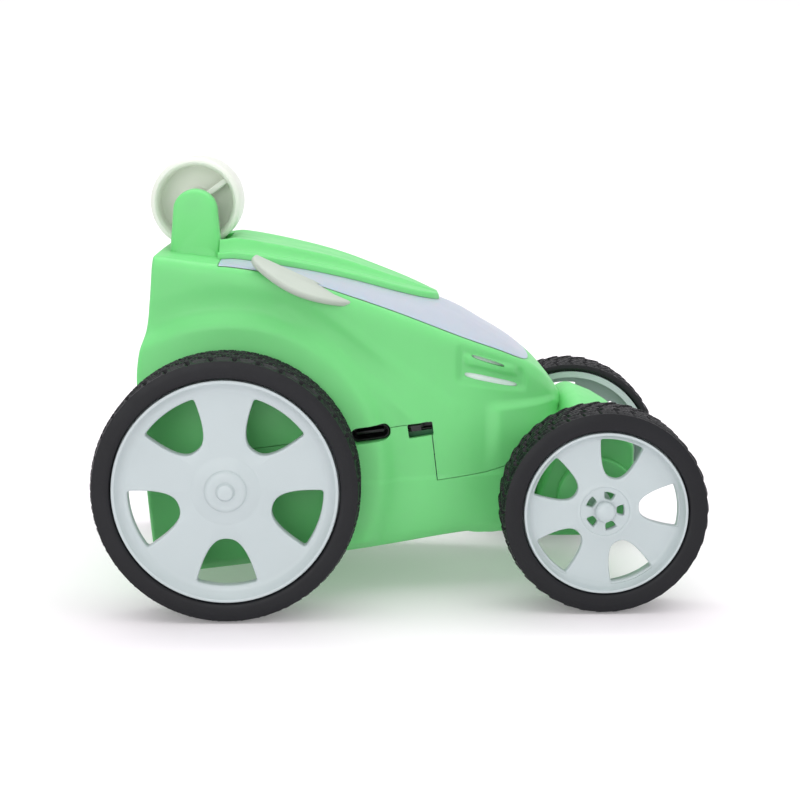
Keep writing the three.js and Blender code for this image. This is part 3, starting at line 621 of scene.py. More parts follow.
POST_INNER, POST_OUTER, POST_HALF = 9.0, 14.6, 5.3
PIN_X, PIN_Z = ROLLER.x, ROLLER.z
POST_X, POST_Z = -9.1, 92.5


def fork_post(side):
    """One upright of the tail fork: round on top, with a foot that flares into the deck."""
    outline = [(POST_X + POST_HALF + 1.4, 78.5), (POST_X + POST_HALF + 0.8, 84)]
    outline += arc(POST_X, POST_Z, POST_HALF, 0, 180, 40)
    outline += [(POST_X - POST_HALF - 0.8, 84), (POST_X - POST_HALF - 1.4, 78.5)]
    lo, hi = sorted((side * POST_INNER, side * POST_OUTER))
    post = plate("post", [outline], lo, hi, 1.3, segments=4)
    rings = []
    for z in np.linspace(79.6, 86.5, 20):
        flare = ramp(86.5, 80.2, z) ** 2
        half_x, half_y = POST_HALF - 0.1 + 1.3 * flare, (POST_OUTER - POST_INNER) / 2 - 0.2 + 1.4 * flare
        turns = np.linspace(0, 2 * math.pi, 56, endpoint=False)
        shape = [[np.sign(v) * abs(v) ** 0.6 for v in (math.cos(t), math.sin(t))] for t in turns]
        centre_y = side * ((POST_INNER + POST_OUTER) / 2 + 0.6 * flare)
        rings.append([(POST_X + half_x * a, centre_y + half_y * b, z) for a, b in shape])
    foot = skin("foot", rings)
    well = rounded_box("well", PIN_X - 12, PIN_X + 12, -POST_INNER, POST_INNER, 70, 100, 0.2)
    boolean(foot, well, "DIFFERENCE")
    boolean(post, foot, "UNION")
    pin_hole = rod("pin_hole", 1.3, -side * 2, side * (POST_OUTER - 0.5), PIN_X, PIN_Z)
    return boolean(post, pin_hole, "DIFFERENCE")


VENTS = [[(57.7, 58.2), (65.6, 55.4), (65.4, 56.3), (57.5, 59.2)],
         [(56.0, 53.4), (69, 50.1), (68.8, 51.5), (55.8, 55.0)]]


def build_upper_shell():
    for outline in VENTS:
        boolean(upper, prism("vent", chaikin(outline), -40, 40), "DIFFERENCE")
    for side in (-1, 1):
        boolean(upper, fork_post(side), "UNION")
    return upper


build_upper_shell()
finish_piece(upper, "car_body", "green_plastic", GREEN, "upper_shell")

# ---- light cover

finish_piece(cover, "car_body", "milky_plastic", COVER, "light_cover")

# ---- roof panel

roof_half = smooth([(-1.8, 20.6), (12, 19.8), (26, 17), (38, 13.4), (45, 10), (49, 6.2), (50.6, 3)])
roof_rise = smooth([(-1.8, 2.9), (10, 2.6), (25, 2.1), (38, 1.2), (47, 0.4), (50.6, 0)])


roof_foot = smooth([(-1.8, 0.78), (12, 0.76), (26, 0.7), (38, 0.62), (46, 0.5), (50.6, 0.4)])


def top_z(x, y, inset=0.0):
    belt = float(belt_z(x)) - inset
    crown = max(float(crown_z(x)) - inset, belt + 0.02)
    shoulder = max(float(half_width(x)) - inset - 2.4, 0.8)
    return crown - (crown - belt) * np.minimum(np.abs(y) / shoulder, 1) ** 2.2


ROOF_REAR = -3.2


def build_roof():
    """A thin flange on the light cover, and on it a raised middle with a hollow wall along each side."""
    flange, edge = 1.2, 0.5
    xs = np.concatenate([[ROOF_REAR], np.arange(-2.6, 44, 0.9), np.linspace(44.4, 50.6, 18)])
    part = np.concatenate([np.linspace(-1, -0.97, 4), np.linspace(-0.96, 0.96, 161), np.linspace(0.97, 1, 4)])
    rings = []
    for x in xs:
        half = float(roof_half(x))
        y = part * half
        inward = np.minimum((1 - np.abs(part)) * half, (50.6 - x) * 2.5)
        edge_drop = edge * (1 - np.sqrt(1 - np.clip(1 - inward / edge, 0, 1) ** 2))
        side = np.abs(part)
        foot = float(roof_foot(x))
        wall = np.clip((foot - side) / 0.1, 0, 1) ** 1.7
        rise = float(roof_rise(x)) * wall * (0.82 + 0.18 * ramp(0.3, foot - 0.1, side))
        rise = rise - 0.35 * ramp(foot + 0.16, foot, side) * ramp(44, 30, x)
        upper_z = top_z(x, y) + GAP + flange - edge_drop + rise
        lower_z = top_z(x, y) + GAP * 0.2
        over = np.stack([np.full_like(y, x), y, upper_z], 1)
        under = np.stack([np.full_like(y, x), y, lower_z], 1)[::-1]
        rings.append(np.concatenate([over, under]))
    roof = skin("roof_panel_piece", rings, 30)
    notch = rod("notch", ROLLER_R + 0.9, -POST_INNER, POST_INNER, PIN_X, PIN_Z, 90)
    return boolean(roof, notch, "DIFFERENCE")


finish_piece(build_roof(), "car_body", "green_plastic", GREEN, "roof_panel", angle=30)

# ---- fins and light strips


def bezier(a, b, c, steps=14):
    t = np.linspace(0, 1, steps)[:, None]
    return [tuple(p) for p in (1 - t)**2 * np.array(a) + 2 * t * (1 - t) * np.array(b) + t**2 * np.array(c)]


FIN_ROOT = (17.5, 28.6, 76.3)
FIN_THICKNESS = 1.7
FIN_PITCH = math.radians(24.6)
FIN_DROOP = math.radians(24)


def build_fin(side):
    """A leaf that stands out from the belt line and droops, with a soft rim along its outer edge."""
    outline = [(-13.0, -1.2)] + bezier((-13.4, 0.4), (-13.2, 1.9), (-11.6, 3.0), 8)
    outline += bezier((-11.6, 3.0), (-5.0, 7.4), (1.0, 6.5), 18)[1:]
    outline += bezier((1.0, 6.5), (6.8, 5.4), (13.2, 0.4), 18)[1:]
    outline += [(12.4, -1.2)]
    fin = plate("fin", [outline], 0, FIN_THICKNESS, 0.6, segments=4)
    co = np.empty(len(fin.data.vertices) * 3)
    fin.data.vertices.foreach_get("co", co)
    u, thick, out = (co.reshape(-1, 3) * 1000 - [AXLE_X, 0, 0]).T
    reach = out * math.cos(FIN_DROOP) + thick * math.sin(FIN_DROOP)
    lift = thick * math.cos(FIN_DROOP) - out * math.sin(FIN_DROOP)
    x = u * math.cos(FIN_PITCH) + lift * math.sin(FIN_PITCH) + FIN_ROOT[0] + AXLE_X
    z = -u * math.sin(FIN_PITCH) + lift * math.cos(FIN_PITCH) + FIN_ROOT[2]
    placed = np.stack([x, side * (reach + FIN_ROOT[1]), z], 1) * 0.001
    fin.data.vertices.foreach_set("co", placed.ravel())
    tidy_normals(fin)
    grown = body_solid("grown", -GAP * 0.5, 60, np.arange(-14, 60, 3), detail=False)
    return boolean(fin, grown, "DIFFERENCE")


FIN = moulded("fin_plastic", (0.43, 0.48, 0.42), 0.36, Subsurface_Weight=0.15, Subsurface_Scale=0.003)
set_scattering(FIN, (1.0, 1.0, 1.0))
for hand, side in (("right", -1), ("left", 1)):
    fin = build_fin(side)
    fin.name = f"fin_{hand}_piece"
    finish_piece(fin, "car_body", "milky_plastic", FIN, f"fin_{hand}")

STRIP = moulded("light_strip", (0.86, 0.92, 0.94), 0.36)
for hand, y0, y1 in (("right", -40, -10), ("left", 10, 40)):
    strip = body_solid("strip", WALL + GAP, 60, np.arange(50, 76, 1.0), detail=False)
    deep = body_solid("deep", WALL + GAP + 1.2, 60, np.arange(50, 75, 1.0), detail=False)
    boolean(strip, deep, "DIFFERENCE")
    around_slots = [(54.6, 49), (69.6, 49), (69.6, 57), (62, 58.6), (54.6, 60.2)]
    boolean(strip, prism("window", around_slots, y0, y1), "INTERSECT")
    strip.name = f"vent_diffuser_{hand}_piece"
    finish_piece(strip, "car_body", "milky_plastic", STRIP, f"vent_diffuser_{hand}")

# ---- front axle housing

HOUSING_HALF, BOSS_R, BOSS_FACE = 26.6, 9.7, 28.9


def build_housing():
    """A hollow block across the nose that carries the front wheels' pins; its top sags towards its ends."""
    outline = [(74.4, 14.4), (74.4, 25.4), (77.2, 34.3), (80.4, 42.4)]
    outline += bezier((80.4, 42.4), (82.2, 47.6), (85.6, 46.9), 8)[1:]
    outline += [(90.5, 44.9)] + bezier((94.2, 42.6), (97, 40.6), (97, 37.5), 6) + [(97, 20), (95.5, 14.4)]
    outline = np.array(outline)
    centre = np.array([86.0, 28.0])

    def ring(y, drawn):
        away = outline - centre
        keep = 1 - drawn / np.hypot(*away.T)
        sag = 4 * (y / HOUSING_HALF) ** 2 * ramp(30, 46, outline[:, 1])
        return np.stack([centre[0] + away[:, 0] * keep, np.full(len(outline), y),
                         centre[1] + (away[:, 1] - sag) * keep], 1)

    edge = 1.3
    corner = [(edge * (1 - math.sin(t)), edge * (1 - math.cos(t))) for t in np.linspace(0, math.pi / 2, 7)]
    left = [(-HOUSING_HALF + out, drawn) for drawn, out in corner]
    ys = left + [(y, 0) for y in np.linspace(-24, 24, 25)] + [(-y, d) for y, d in left[::-1]]
    body = skin("housing", [ring(y, d) for y, d in ys])
    hollow = skin("hollow", [ring(y, 3.4) for y in np.linspace(-24.8, 24.8, 15)])
    boolean(hollow, rounded_box("under", 78, 93, -24.8, 24.8, 10, 26, 0.2), "UNION")
    boolean(body, hollow, "DIFFERENCE")
    for side in (-1, 1):
        profile = [(0, 24.8), (BOSS_R, 24.8), (BOSS_R, BOSS_FACE - 0.8), (BOSS_R - 0.25, BOSS_FACE - 0.25),
                   (BOSS_R - 0.8, BOSS_FACE), (4.2, BOSS_FACE), (4.0, BOSS_FACE - 0.5), (0, BOSS_FACE - 0.5)]
        boss = lathe("boss", [(r, side * y) for r, y in profile], 72, (WHEELBASE, 0, FRONT_R))
        boolean(body, boss, "UNION")
        boolean(body, rod("socket", 4, side * 15.6, side * 25.2, WHEELBASE, FRONT_R), "UNION")
        boolean(body, rod("bore", 1.7, side * 14, side * 40, WHEELBASE, FRONT_R), "DIFFERENCE")
    tongue_room = rounded_box("tongue_room", 60, 99, -15.3, 15.3, 5, TONGUE_TOP + GAP, 0.2)
    return boolean(body, tongue_room, "DIFFERENCE")


housing = build_housing()
housing.name = "front_axle_housing_piece"
finish_piece(housing, "car_body", "green_plastic", GREEN, "front_axle_housing")

# ---- tail roller


def build_roller():
    """A milky drum, open on both sides, with a rounded rim, a hub and two ribs."""
    half, outer = ROLLER_HALF, ROLLER_R
    inner = outer - 1.9
    side = [(1.5, half - 1), (2.7, half - 1), (3.0, half - 1.3), (3.1, 3.2), (3.6, 2.7), (inner - 1.6, 2.7),
            (inner - 0.4, 3.4),
            (inner, half - 1.2), (inner + 0.3, half - 0.4), (inner + 0.8, half), (outer - 0.5, half - 0.2),
            (outer - 0.12, half - 0.6), (outer, half - 1.2)]
    profile = side + [(r, -y) for r, y in side[::-1]]
    drum = lathe("tail_roller_piece", profile, 120, (PIN_X, 0, PIN_Z))
    for turn in (36, 262):
        rib = rounded_box("rib", 2.4, inner + 0.4, -half + 2.2, half - 2.2, -0.7, 0.7, 0.3)
        spin = Matrix.Rotation(math.radians(-turn), 4, "Y")
        for vertex in rib.data.vertices:
            local = Vector(vertex.co) * 1000 - Vector((AXLE_X, 0, 0))
            local = spin @ local
            vertex.co = ((local.x + PIN_X + AXLE_X) * 0.001, local.y * 0.001, (local.z + PIN_Z) * 0.001)
        tidy_normals(rib)
        boolean(drum, rib, "UNION")
    return drum


ROLLER_PLASTIC = moulded("roller_plastic", (0.69, 0.725, 0.65), 0.34, Subsurface_Weight=0.5,
                         Subsurface_Scale=0.004)
set_scattering(ROLLER_PLASTIC, (1.0, 1.0, 1.0))
finish_piece(build_roller(), "roller", "milky_plastic", ROLLER_PLASTIC, "tail_roller")
profile = [(0, -13.9), (0.9, -13.9), (1.2, -13.6), (1.2, 13.6), (0.9, 13.9), (0, 13.9)]
pin = lathe("tail_roller_pin_piece", profile, 40, (PIN_X, 0, PIN_Z))
finish_piece(pin, "car_body", "steel", STEEL, "tail_roller_pin")

# ---- tyres


def cell_edge(u, v, rows, pitch, stretch):
    """Distance from the nearest boundary between staggered cells that are centred on the rows."""
    near = np.full(u.shape, 1e9)
    second = np.full(u.shape, 1e9)
    for i, row in enumerate(rows):
        shift = 0.5 * (i % 2)
        base = np.round(u / pitch - shift)
        for step in (-1, 0, 1):
            du = (u - (base + step + shift) * pitch) / stretch
            distance = np.hypot(du, v - row)
            second = np.where(distance < near, near, np.minimum(second, distance))
            near = np.minimum(near, distance)
    return (second - near) / 2


def rear_tread(u, v, pitch):
    """Depth below the crest: long six-sided blocks, each with a shallow slot, divided by narrow grooves."""
    rows = [1.2, 4.6, 8.0, 11.4, 14.8]
    edge = cell_edge(u, v, rows, pitch, 1.35)
    depth = 1.0 * ramp(0.45, 0.15, edge) + 0.3 * ramp(0.55, 0.85, edge)
    for i, row in enumerate(rows):
        local = (u / pitch - 0.5 * (i % 2) + 0.5) % 1 * pitch - pitch / 2
        slot = np.hypot(np.maximum(np.abs(local) - 1.1, 0), v - row)
        depth = np.maximum(depth, 0.5 * ramp(0.45, 0.15, slot))
    return depth


def front_tread(u, v, pitch):
    """Depth below the crest: staggered slanting lugs, each with two long slots, that end in a step."""
    rows = [1.7, 5.7, 9.7, 13.7]
    slanted = u + 0.35 * np.abs(v - FRONT_W / 2)
    edge = cell_edge(slanted, v, rows, pitch, 0.95)
    depth = 1.2 * ramp(0.46, 0.18, edge)
    for i, row in enumerate(rows):
        local = (slanted / pitch - 0.5 * (i % 2) + 0.5) % 1 * pitch - pitch / 2
        near_row = np.abs(v - row) < 2
        lean = 0.35 * local
        for lane in (-0.75, 0.75):
            slot = np.hypot(np.maximum(np.abs(local) - 1.0, 0), v - row - lane - lean)
            depth = np.where(near_row, np.maximum(depth, 0.6 * ramp(0.36, 0.14, slot)), depth)
        depth = np.where(near_row, depth + 0.3 * ramp(0.2, 1.0, local / pitch + 0.5) * (depth < 0.6), depth)
    return np.minimum(depth, 1.2)


def build_tyre(name, side, centre, radius, width, inner_y, lip, sleeve, shoulder, lugs, tread):
    bead = width - 2.9
    steps = lugs * 18
    turns = np.linspace(0, 2 * math.pi, steps, endpoint=False)
    crest_v = np.linspace(0.25, width - 0.25, 47)
    profile = [(lip + 0.5, bead), (lip, bead + 0.4), (lip, width - 0.7), (lip + 0.15, width - 0.3),
               (lip + 0.45, width - 0.12)]
    profile += [(r, width - 0.1 + 0.1 * math.sin(math.pi * (r - lip) / (shoulder - lip)))
                for r in np.linspace(lip + 0.9, shoulder - 1.0, 6)]
    profile += [(shoulder - 0.6, width - 0.12), (shoulder - 0.25, width - 0.16)]
    profile += [(None, v) for v in crest_v[::-1]]
    profile += [(shoulder - 0.3, 0.1), (shoulder - 0.8, 0), (sleeve + 0.3, 0), (sleeve, 0.3), (sleeve, bead)]
    count = len(profile)
    radii = np.zeros((steps, count))
    ys = np.array([y for _, y in profile])
    for j, (r, y) in enumerate(profile):
        if r is not None:
            radii[:, j] = r
            continue
        inward = min(y, width - y)
        crown = radius - (radius - shoulder) * max(1 - inward / 2.8, 0) ** 2
        low = shoulder - 0.5 + 0.35 * ramp(1.6, 0.4, inward)
        depth = tread(turns * radius, np.full(steps, width - y), 2 * math.pi * radius / lugs)
        radii[:, j] = np.maximum(crown - depth * ramp(0.3, 1.4, inward), low - 0.25 * ramp(1.0, 0, inward))
    xs = radii * np.cos(turns)[:, None] + centre[0]
    zs = radii * np.sin(turns)[:, None] + centre[1]
    yy = np.broadcast_to(side * (ys + inner_y), radii.shape)
    points = np.stack([xs, yy, zs], 2).reshape(-1, 3)
    faces = []
    for i in range(steps):
        a, b = i * count, ((i + 1) % steps) * count
        for j in range(count):
            k = (j + 1) % count
            faces.append((a + j, a + k, b + k, b + j))
    return make_object(name, points, faces, 50)


REAR_TYRE = dict(lip=26.2, sleeve=28.4, shoulder=30.2, lugs=36, tread=rear_tread)
FRONT_TYRE = dict(lip=19.4, sleeve=22, shoulder=23.5, lugs=38, tread=front_tread)

for hand, side in (("right", -1), ("left", 1)):
    tyre = build_tyre(f"rear_tyre_{hand}_piece", side, (0, REAR_R), REAR_R, REAR_W, REAR_Y, **REAR_TYRE)
    finish_piece(tyre, f"rear_wheel_{hand}", "tyre_rubber", RUBBER, f"rear_tyre_{hand}", angle=50)
    tyre = build_tyre(f"front_tyre_{hand}_piece", side, (WHEELBASE, FRONT_R), FRONT_R, FRONT_W, FRONT_Y,
                      **FRONT_TYRE)
    finish_piece(tyre, f"front_wheel_{hand}", "tyre_rubber", RUBBER, f"front_tyre_{hand}", angle=50)

# ---- rims

REAR_WINDOWS = dict(count=5, near=11.3, far=22.4, half=7.0, power=2.5, first=-90)
FRONT_WINDOWS = dict(count=5, near=8, far=17.2, half=5.1, power=2.6, first=5)
HUB_WINDOWS = dict(count=5, near=2.8, far=4.55, half=1.28, power=5, first=3)
FAR_FRONT_TURN = 21


def window_outline(windows):
    """One opening between two spokes, on the X axis: round towards the hub and wide towards the rim."""
    near, far, half, power = (windows[k] for k in ("near", "far", "half", "power"))
    corner = math.sqrt(far**2 - half**2)
    edge = math.atan2(half, corner)
    rim = [(far * math.cos(t), far * math.sin(t)) for t in np.linspace(-edge, edge, 18)]
    parts = np.linspace(1, -1, 41)[1:-1]
    flank = [(near + abs(part) ** power * (corner - near), part * half) for part in parts]
    return fillet(rim + flank, 0.07 * half)


def fillet(outline, radius):
    """Softens the sharp corners of a closed outline without moving its smooth stretches."""
    points = np.asarray(outline, float)
    for _ in range(2):
        before, after = np.roll(points, 1, axis=0), np.roll(points, -1, axis=0)
        a, b = points - before, after - points
        turn = np.abs(np.arctan2(a[:, 0] * b[:, 1] - a[:, 1] * b[:, 0], (a * b).sum(1)))
        result = []
        for p, q, r, t in zip(before, points, after, turn):
            if t < 0.4:
                result.append(q)
                continue
            la, lb = np.hypot(*(q - p)), np.hypot(*(r - q))
            cut = min(radius, la * 0.45, lb * 0.45)
            result.append(q - (q - p) / la * cut)
            result.append(q + (r - q) / lb * cut)
        points = np.array(result)
        radius *= 0.4
    return [tuple(p) for p in points]


def window_cutter(windows, degrees, side, centre, face, back):
    """Cuts one opening from back to well past the face, with its front edge eased."""
    c, s = math.cos(math.radians(degrees)), math.sin(math.radians(degrees))
    rings = []
    levels = [(back, 0.0), (face - 0.45, 0.0), (face - 0.2, 0.07), (face - 0.05, 0.2), (face + 0.05, 0.42),
              (face + 3.5, 0.42)]
    plain = np.array(window_outline(windows))
    middle_point = plain.mean(0)
    for y, grow in levels:
        away = plain - middle_point
        scale = 1 + grow / np.hypot(*away.T)
        shape = middle_point + away * scale[:, None]
        rings.append([(centre[0] + x * c - z * s, side * y, centre[1] + x * s + z * c) for x, z in shape])
    return skin("window", rings)


def build_rim(name, side, centre, profile, inner_y, cutters, bore_to):
    rim = lathe(name, [(r, side * (y + inner_y)) for r, y in profile], 180, (centre[0], 0, centre[1]), 32)
    for windows, turn, face, back in cutters:
        for i in range(windows["count"]):
            degrees = windows["first"] + turn + i * 360 / windows["count"]
            cutter = window_cutter(windows, degrees, side, centre, face + inner_y, back + inner_y)
            boolean(rim, cutter, "DIFFERENCE")
    bore = rod("bore", 1.7, side * (inner_y - 3), side * (inner_y + bore_to), *centre)
    boolean(rim, bore, "DIFFERENCE")
    return rim


REAR_RIM = [(0, 16.0), (1.2, 15.97), (1.65, 15.85), (1.95, 15.5), (2.05, 15.1), (2.2, 14.95), (3.7, 14.9),
            (4.4, 14.75), (4.75, 14.45), (4.9, 14.2), (5.2, 14.12), (7.4, 14.08), (7.7, 13.94), (8.2, 13.9),
            (15, 13.94), (22.6, 14.0), (23.3, 14.1), (23.9, 14.35), (24.5, 14.95), (24.95, 15.5), (25.2,
                                                                                                   15.9),
            (25.45, 16.0), (25.7, 15.98), (25.88, 15.8), (25.9, 12.8), (28.1, 12.8), (28.1, 0.4), (26.3, 0.4),
            (26.3, 11.4), (4.4, 11.4), (4.4, 0.4), (0, 0.4)]
FRONT_RIM = [(0, 12.6), (2.3, 12.6), (5.7, 12.6), (5.9, 12.78), (6.3, 12.82), (6.7, 12.72), (7.1, 12.6),
             (12, 12.62),
             (16.6, 12.7), (17.1, 12.82), (17.5, 13.1), (18.1, 13.9), (18.4, 14.9), (18.5, 15.25), (18.7,
                                                                                                    15.4),
             (18.95, 15.36), (19.1, 15.2), (19.1, 12.2), (21.7, 12.2), (21.7, 0.4), (20.1, 0.4), (20.1, 10.9),
             (2.6, 10.9), (2.6, 0.4), (0, 0.4)]

for hand, side in (("right", -1), ("left", 1)):
    rim = build_rim(f"rear_rim_{hand}_piece", side, (0, REAR_R), REAR_RIM, REAR_Y,
                    [(REAR_WINDOWS, 0, 13.95, 10)], 12.2)
    finish_piece(rim, f"rear_wheel_{hand}", "milky_plastic", MILKY, f"rear_rim_{hand}", angle=32)
    turn = FAR_FRONT_TURN if side > 0 else 0
    rim = build_rim(f"front_rim_{hand}_piece", side, (WHEELBASE, FRONT_R), FRONT_RIM, FRONT_Y,
                    [(FRONT_WINDOWS, turn, 12.65, 9.5), (HUB_WINDOWS, turn, 12.6, 9.5)], 20)
    finish_piece(rim, f"front_wheel_{hand}", "milky_plastic", MILKY, f"front_rim_{hand}", angle=32)
    seat = FRONT_Y + 12.6 + GAP
    profile = [(0, 16), (1.2, 16), (1.5, 16.3), (1.5, seat), (2.3, seat), (2.42, seat + 0.15),
               (2.4, seat + 0.75),
               (2.2, seat + 1.15), (1.8, seat + 1.45), (1.2, seat + 1.62), (0.6, seat + 1.68), (0,
                                                                                                seat + 1.7)]
    pin = lathe(f"front_wheel_pin_{hand}_piece", [(r, side * y) for r, y in profile], 48,
                (WHEELBASE, 0, FRONT_R))
    finish_piece(pin, "car_body", "milky_plastic", MILKY, f"front_wheel_pin_{hand}")
    profile = [(0, 15), (1.2, 15), (1.5, 15.3), (1.5, 45.6), (1.2, 46), (0, 46)]
    axle = lathe(f"rear_axle_{hand}_piece", [(r, side * y) for r, y in profile], 48, (0, 0, REAR_R))
    finish_piece(axle, f"rear_wheel_{hand}", "steel", STEEL, f"rear_axle_{hand}")

# ---- charging port, switch and screws


def untilt(obj, at, y_shift=0.0):
    """Turns a piece made level about the origin into the tilt of the car's floor, and puts it at (x, z)."""
    c, s = math.cos(TILT), math.sin(TILT)
    for vertex in obj.data.vertices:
        u, y, w = Vector(vertex.co) * 1000 - Vector((AXLE_X, 0, 0))
        vertex.co = ((at[0] + u * c - w * s + AXLE_X) * 0.001, (y + y_shift) * 0.001,
                     (at[1] + u * s + w * c) * 0.001)
    tidy_normals(obj)
    return obj


def stadium(width, height, steps=16):
    r = height / 2
    return arc(width / 2 - r, 0, r, -90, 90, steps) + arc(r - width / 2, 0, r, 90, 270, steps)


def build_port():
    face, depth = 30.2, 7.4
    can = prism("usb_c_port_piece", stadium(8.9, 3.2), -face, depth - face)
    lead_in = skin("mouth", [[(x, -face - 1, z) for x, z in stadium(8.9 - 0.3, 3.2 - 0.3)],
                             [(x, -face - 0.01, z) for x, z in stadium(8.9 - 0.3, 3.2 - 0.3)],
                             [(x, -face + 0.25, z) for x, z in stadium(8.9 - 0.7, 3.2 - 0.7)],
                             [(x, depth - face - 1.2, z) for x, z in stadium(8.9 - 0.7, 3.2 - 0.7)]])
    boolean(can, lead_in, "DIFFERENCE")
    blade = rounded_box("blade", -3.3, 3.3, 0.9 - face, depth - face - 1, -0.35, 0.35, 0.12, 2)
    boolean(can, blade, "UNION")
    for i in range(12):
        contact_x = -2.75 + i * 0.5
        for z in (-0.41, 0.33):
            pad = rounded_box("pad", contact_x - 0.12, contact_x + 0.12, 1.3 - face, depth - face - 1.4, z,
                              z + 0.08, 0.02, 1)
            boolean(can, pad, "UNION")
    return untilt(can, USB_AT)


def painted_port():
    """Dark plated metal."""
    material, tree, shader = base_material("port_metal", (0.012, 0.013, 0.014), 0.35, Metallic=0.5)
    vary_roughness(tree, shader, 0.28, 0.45, 900)
    grain(tree, shader, [(1800, 0.000006)])
    return material


PORT = painted_port()
finish_piece(build_port(), "car_body", "steel", PORT, "usb_c_port")


def build_switch_body():
    block = rounded_box("power_switch_body_piece", -4.3, 4.3, -26.3, -22.4, -0.6, 1.9, 0.2)
    boolean(block, rounded_box("room", -3.2, 3.2, -30, -23.8, -0.25, 1.55, 0.05), "DIFFERENCE")
    return untilt(block, SWITCH_AT)


def build_slider():
    knob_from = -1.0
    slider = rounded_box("power_switch_slider_piece", knob_from - 1.9, knob_from + 1.9, -26, -24.1, -0.05,
                         1.35, 0.15)
    knob = rounded_box("knob", knob_from - 1.3, knob_from + 1.3, -29.8, -24.5, -0.05, 1.35, 0.22)
    boolean(slider, knob, "UNION")
    for x in (-1.75, -1.25, -0.75, -0.25):
        boolean(slider, rounded_box("groove", x - 0.1, x + 0.1, -30.2, -29.6, -1, 2, 0.03, 1), "DIFFERENCE")
    return untilt(slider, SWITCH_AT)


finish_piece(build_switch_body(), "car_body", "black_plastic", BLACK, "power_switch_body")
finish_piece(build_slider(), "switch_knob", "black_plastic", BLACK, "power_switch_slider")


def build_screw(name, x, y, z):
    """A countersunk-cross screw seen from below: head, cross recess and a shank with rings for its thread."""
    profile = [(0, 0.12), (1.2, 0.08), (2.0, 0), (2.3, 0.12), (2.4, 0.4), (2.4, 1.45), (2.25, 1.6),
               (1.1, 1.6)]
    for i in range(9):
        start = 2.2 + i
        profile += [(0.9, start), (1.15, start + 0.35), (1.15, start + 0.5), (0.9, start + 0.85)]
    profile += [(0.7, 11.4), (0, 12)]
    screw = upright(name, profile, x, y, z)
    for wide, long in ((1.55, 0.28), (0.28, 1.55)):
        slot = rounded_box("cross", x - wide, x + wide, y - long, y + long, z - 1, z + 0.75, 0.08, 2)
        boolean(screw, slot, "DIFFERENCE")
    return screw


for i, (x, y) in enumerate([(-12, -18), (-12, 18), (60, -17), (60, 17)], 1):
    box_low, box_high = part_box(f"case_screw_{i}")
    at = (box_low + box_high) / 2 * 1000
    screw = build_screw(f"case_screw_{i}_piece", at.x - AXLE_X, at.y, box_low.z * 1000)
    finish_piece(screw, "car_body", "steel", DARK_STEEL, f"case_screw_{i}")
for i in (1, 2):
    box_low, box_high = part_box(f"housing_screw_{i}")
    at = (box_low + box_high) / 2 * 1000
    screw = build_screw(f"housing_screw_{i}_piece", at.x - AXLE_X, at.y, box_low.z * 1000)
    finish_piece(screw, "car_body", "steel", DARK_STEEL, f"housing_screw_{i}")

# ---- parts inside, kept as they are

INNER_LOOKS = {
    "drive_gear": GEARS, "reduction_gear": GEARS, "motor_pinion": BRASS, "motor_shaft": STEEL,
    "reduction_shaft": STEEL, "motor": STEEL, "gear_frame": BLACK, "led": MILKY,
}
for stem, material in INNER_LOOKS.items():
    for hand in ("right", "left"):
        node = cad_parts[f"{stem}_{hand}"]
        node.data.materials.clear()
        node.data.materials.append(material)
for name, material in (("battery", SLEEVE), ("circuit_board", BOARD)):
    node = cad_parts[name]
    node.data.materials.clear()
    node.data.materials.append(material)

# ---- studio


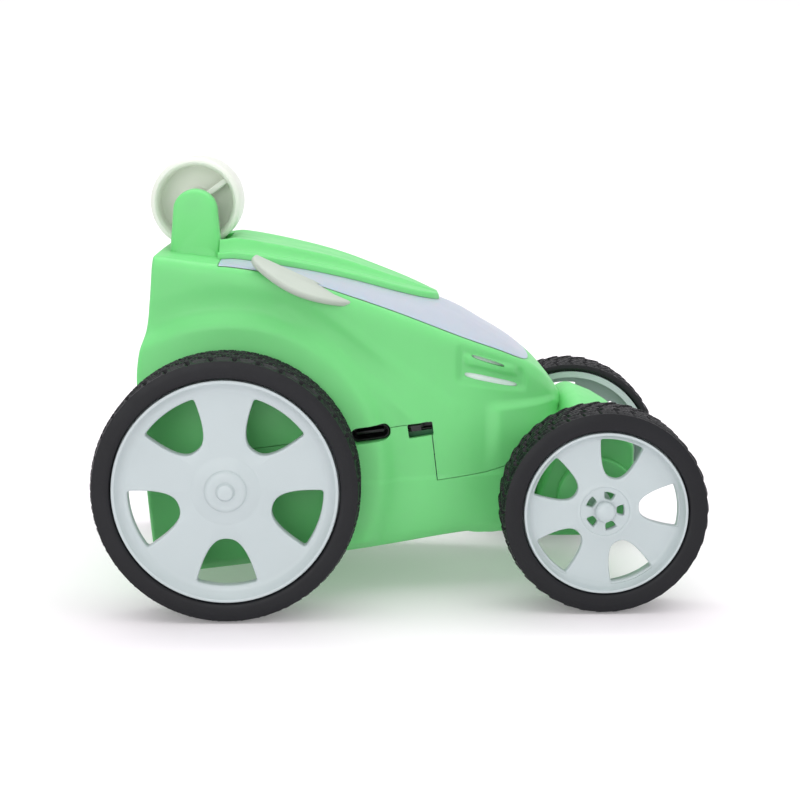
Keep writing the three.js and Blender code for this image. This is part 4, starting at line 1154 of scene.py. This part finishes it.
def build_floor():
    material, tree, shader = base_material("studio_floor", (0.78, 0.74, 0.775), 0.6, Emission_Strength=0.18)
    shader.inputs["Emission Color"].default_value = (1, 1, 1, 1)
    vary_roughness(tree, shader, 0.55, 0.65, 3)
    front, start, radius, rise = -4.0, 1.0, 3.0, 4.0
    line = [(y, 0.0) for y in np.linspace(front, start, 21)]
    turns = np.linspace(0, math.pi / 2, 97)[1:]
    line += [(start + radius * math.sin(t), radius - radius * math.cos(t)) for t in turns]
    line += [(start + radius, rise)]
    points, faces = [], []
    for x in (-3.5, 3.5):
        points += [(x, y, z) for y, z in line]
    n = len(line)
    for i in range(n - 1):
        faces.append((i, i + 1, n + i + 1, n + i))
    mesh = bpy.data.meshes.new("studio_floor")
    mesh.from_pydata(points, [], faces)
    mesh.shade_smooth()
    obj = bpy.data.objects.new("studio_floor", mesh)
    bpy.context.scene.collection.objects.link(obj)
    obj.data.materials.append(material)


def area_light(name, place, target, size, power, color=(1, 1, 1)):
    data = bpy.data.lights.new(name, "AREA")
    data.shape = "RECTANGLE"
    data.size, data.size_y = size
    data.energy = power
    data.color = color
    obj = bpy.data.objects.new(name, data)
    obj.location = place
    obj.rotation_euler = (Vector(target) - Vector(place)).to_track_quat("-Z", "Y").to_euler()
    bpy.context.scene.collection.objects.link(obj)


def build_lights():
    world = bpy.data.worlds.new("studio")
    world.use_nodes = True
    world.node_tree.nodes["Background"].inputs["Color"].default_value = (1, 1, 1, 1)
    world.node_tree.nodes["Background"].inputs["Strength"].default_value = 0.62
    bpy.context.scene.world = world
    area_light("top", (0, -0.1, 0.9), (0, 0, 0.03), (1.2, 1.0), 4.2)
    area_light("front", (-0.3, -0.95, 0.32), (0, 0, 0.04), (0.8, 0.6), 3.4)
    area_light("front_right", (0.8, -0.6, 0.45), (0, 0, 0.04), (0.7, 0.7), 1.4)
    area_light("backdrop", (0, 0.5, 1.4), (0, 1.6, 0.6), (2.5, 0.8), 30)


def build_camera():
    data = bpy.data.cameras.new("camera")
    data.sensor_width = 36
    data.lens = 76.5
    data.clip_start = 0.01
    data.clip_end = 20
    data.dof.use_dof = False
    obj = bpy.data.objects.new("camera", data)
    toward = Vector((0.01897, 0.98447, -0.17455))
    obj.location = (0.0326 + AXLE_X * 0.001, -0.42783, 0.11935)
    obj.rotation_euler = toward.to_track_quat("-Z", "Y").to_euler()
    bpy.context.scene.collection.objects.link(obj)
    bpy.context.scene.camera = obj


build_floor()
build_lights()
build_camera()
bpy.context.scene.view_settings.view_transform = "Standard"
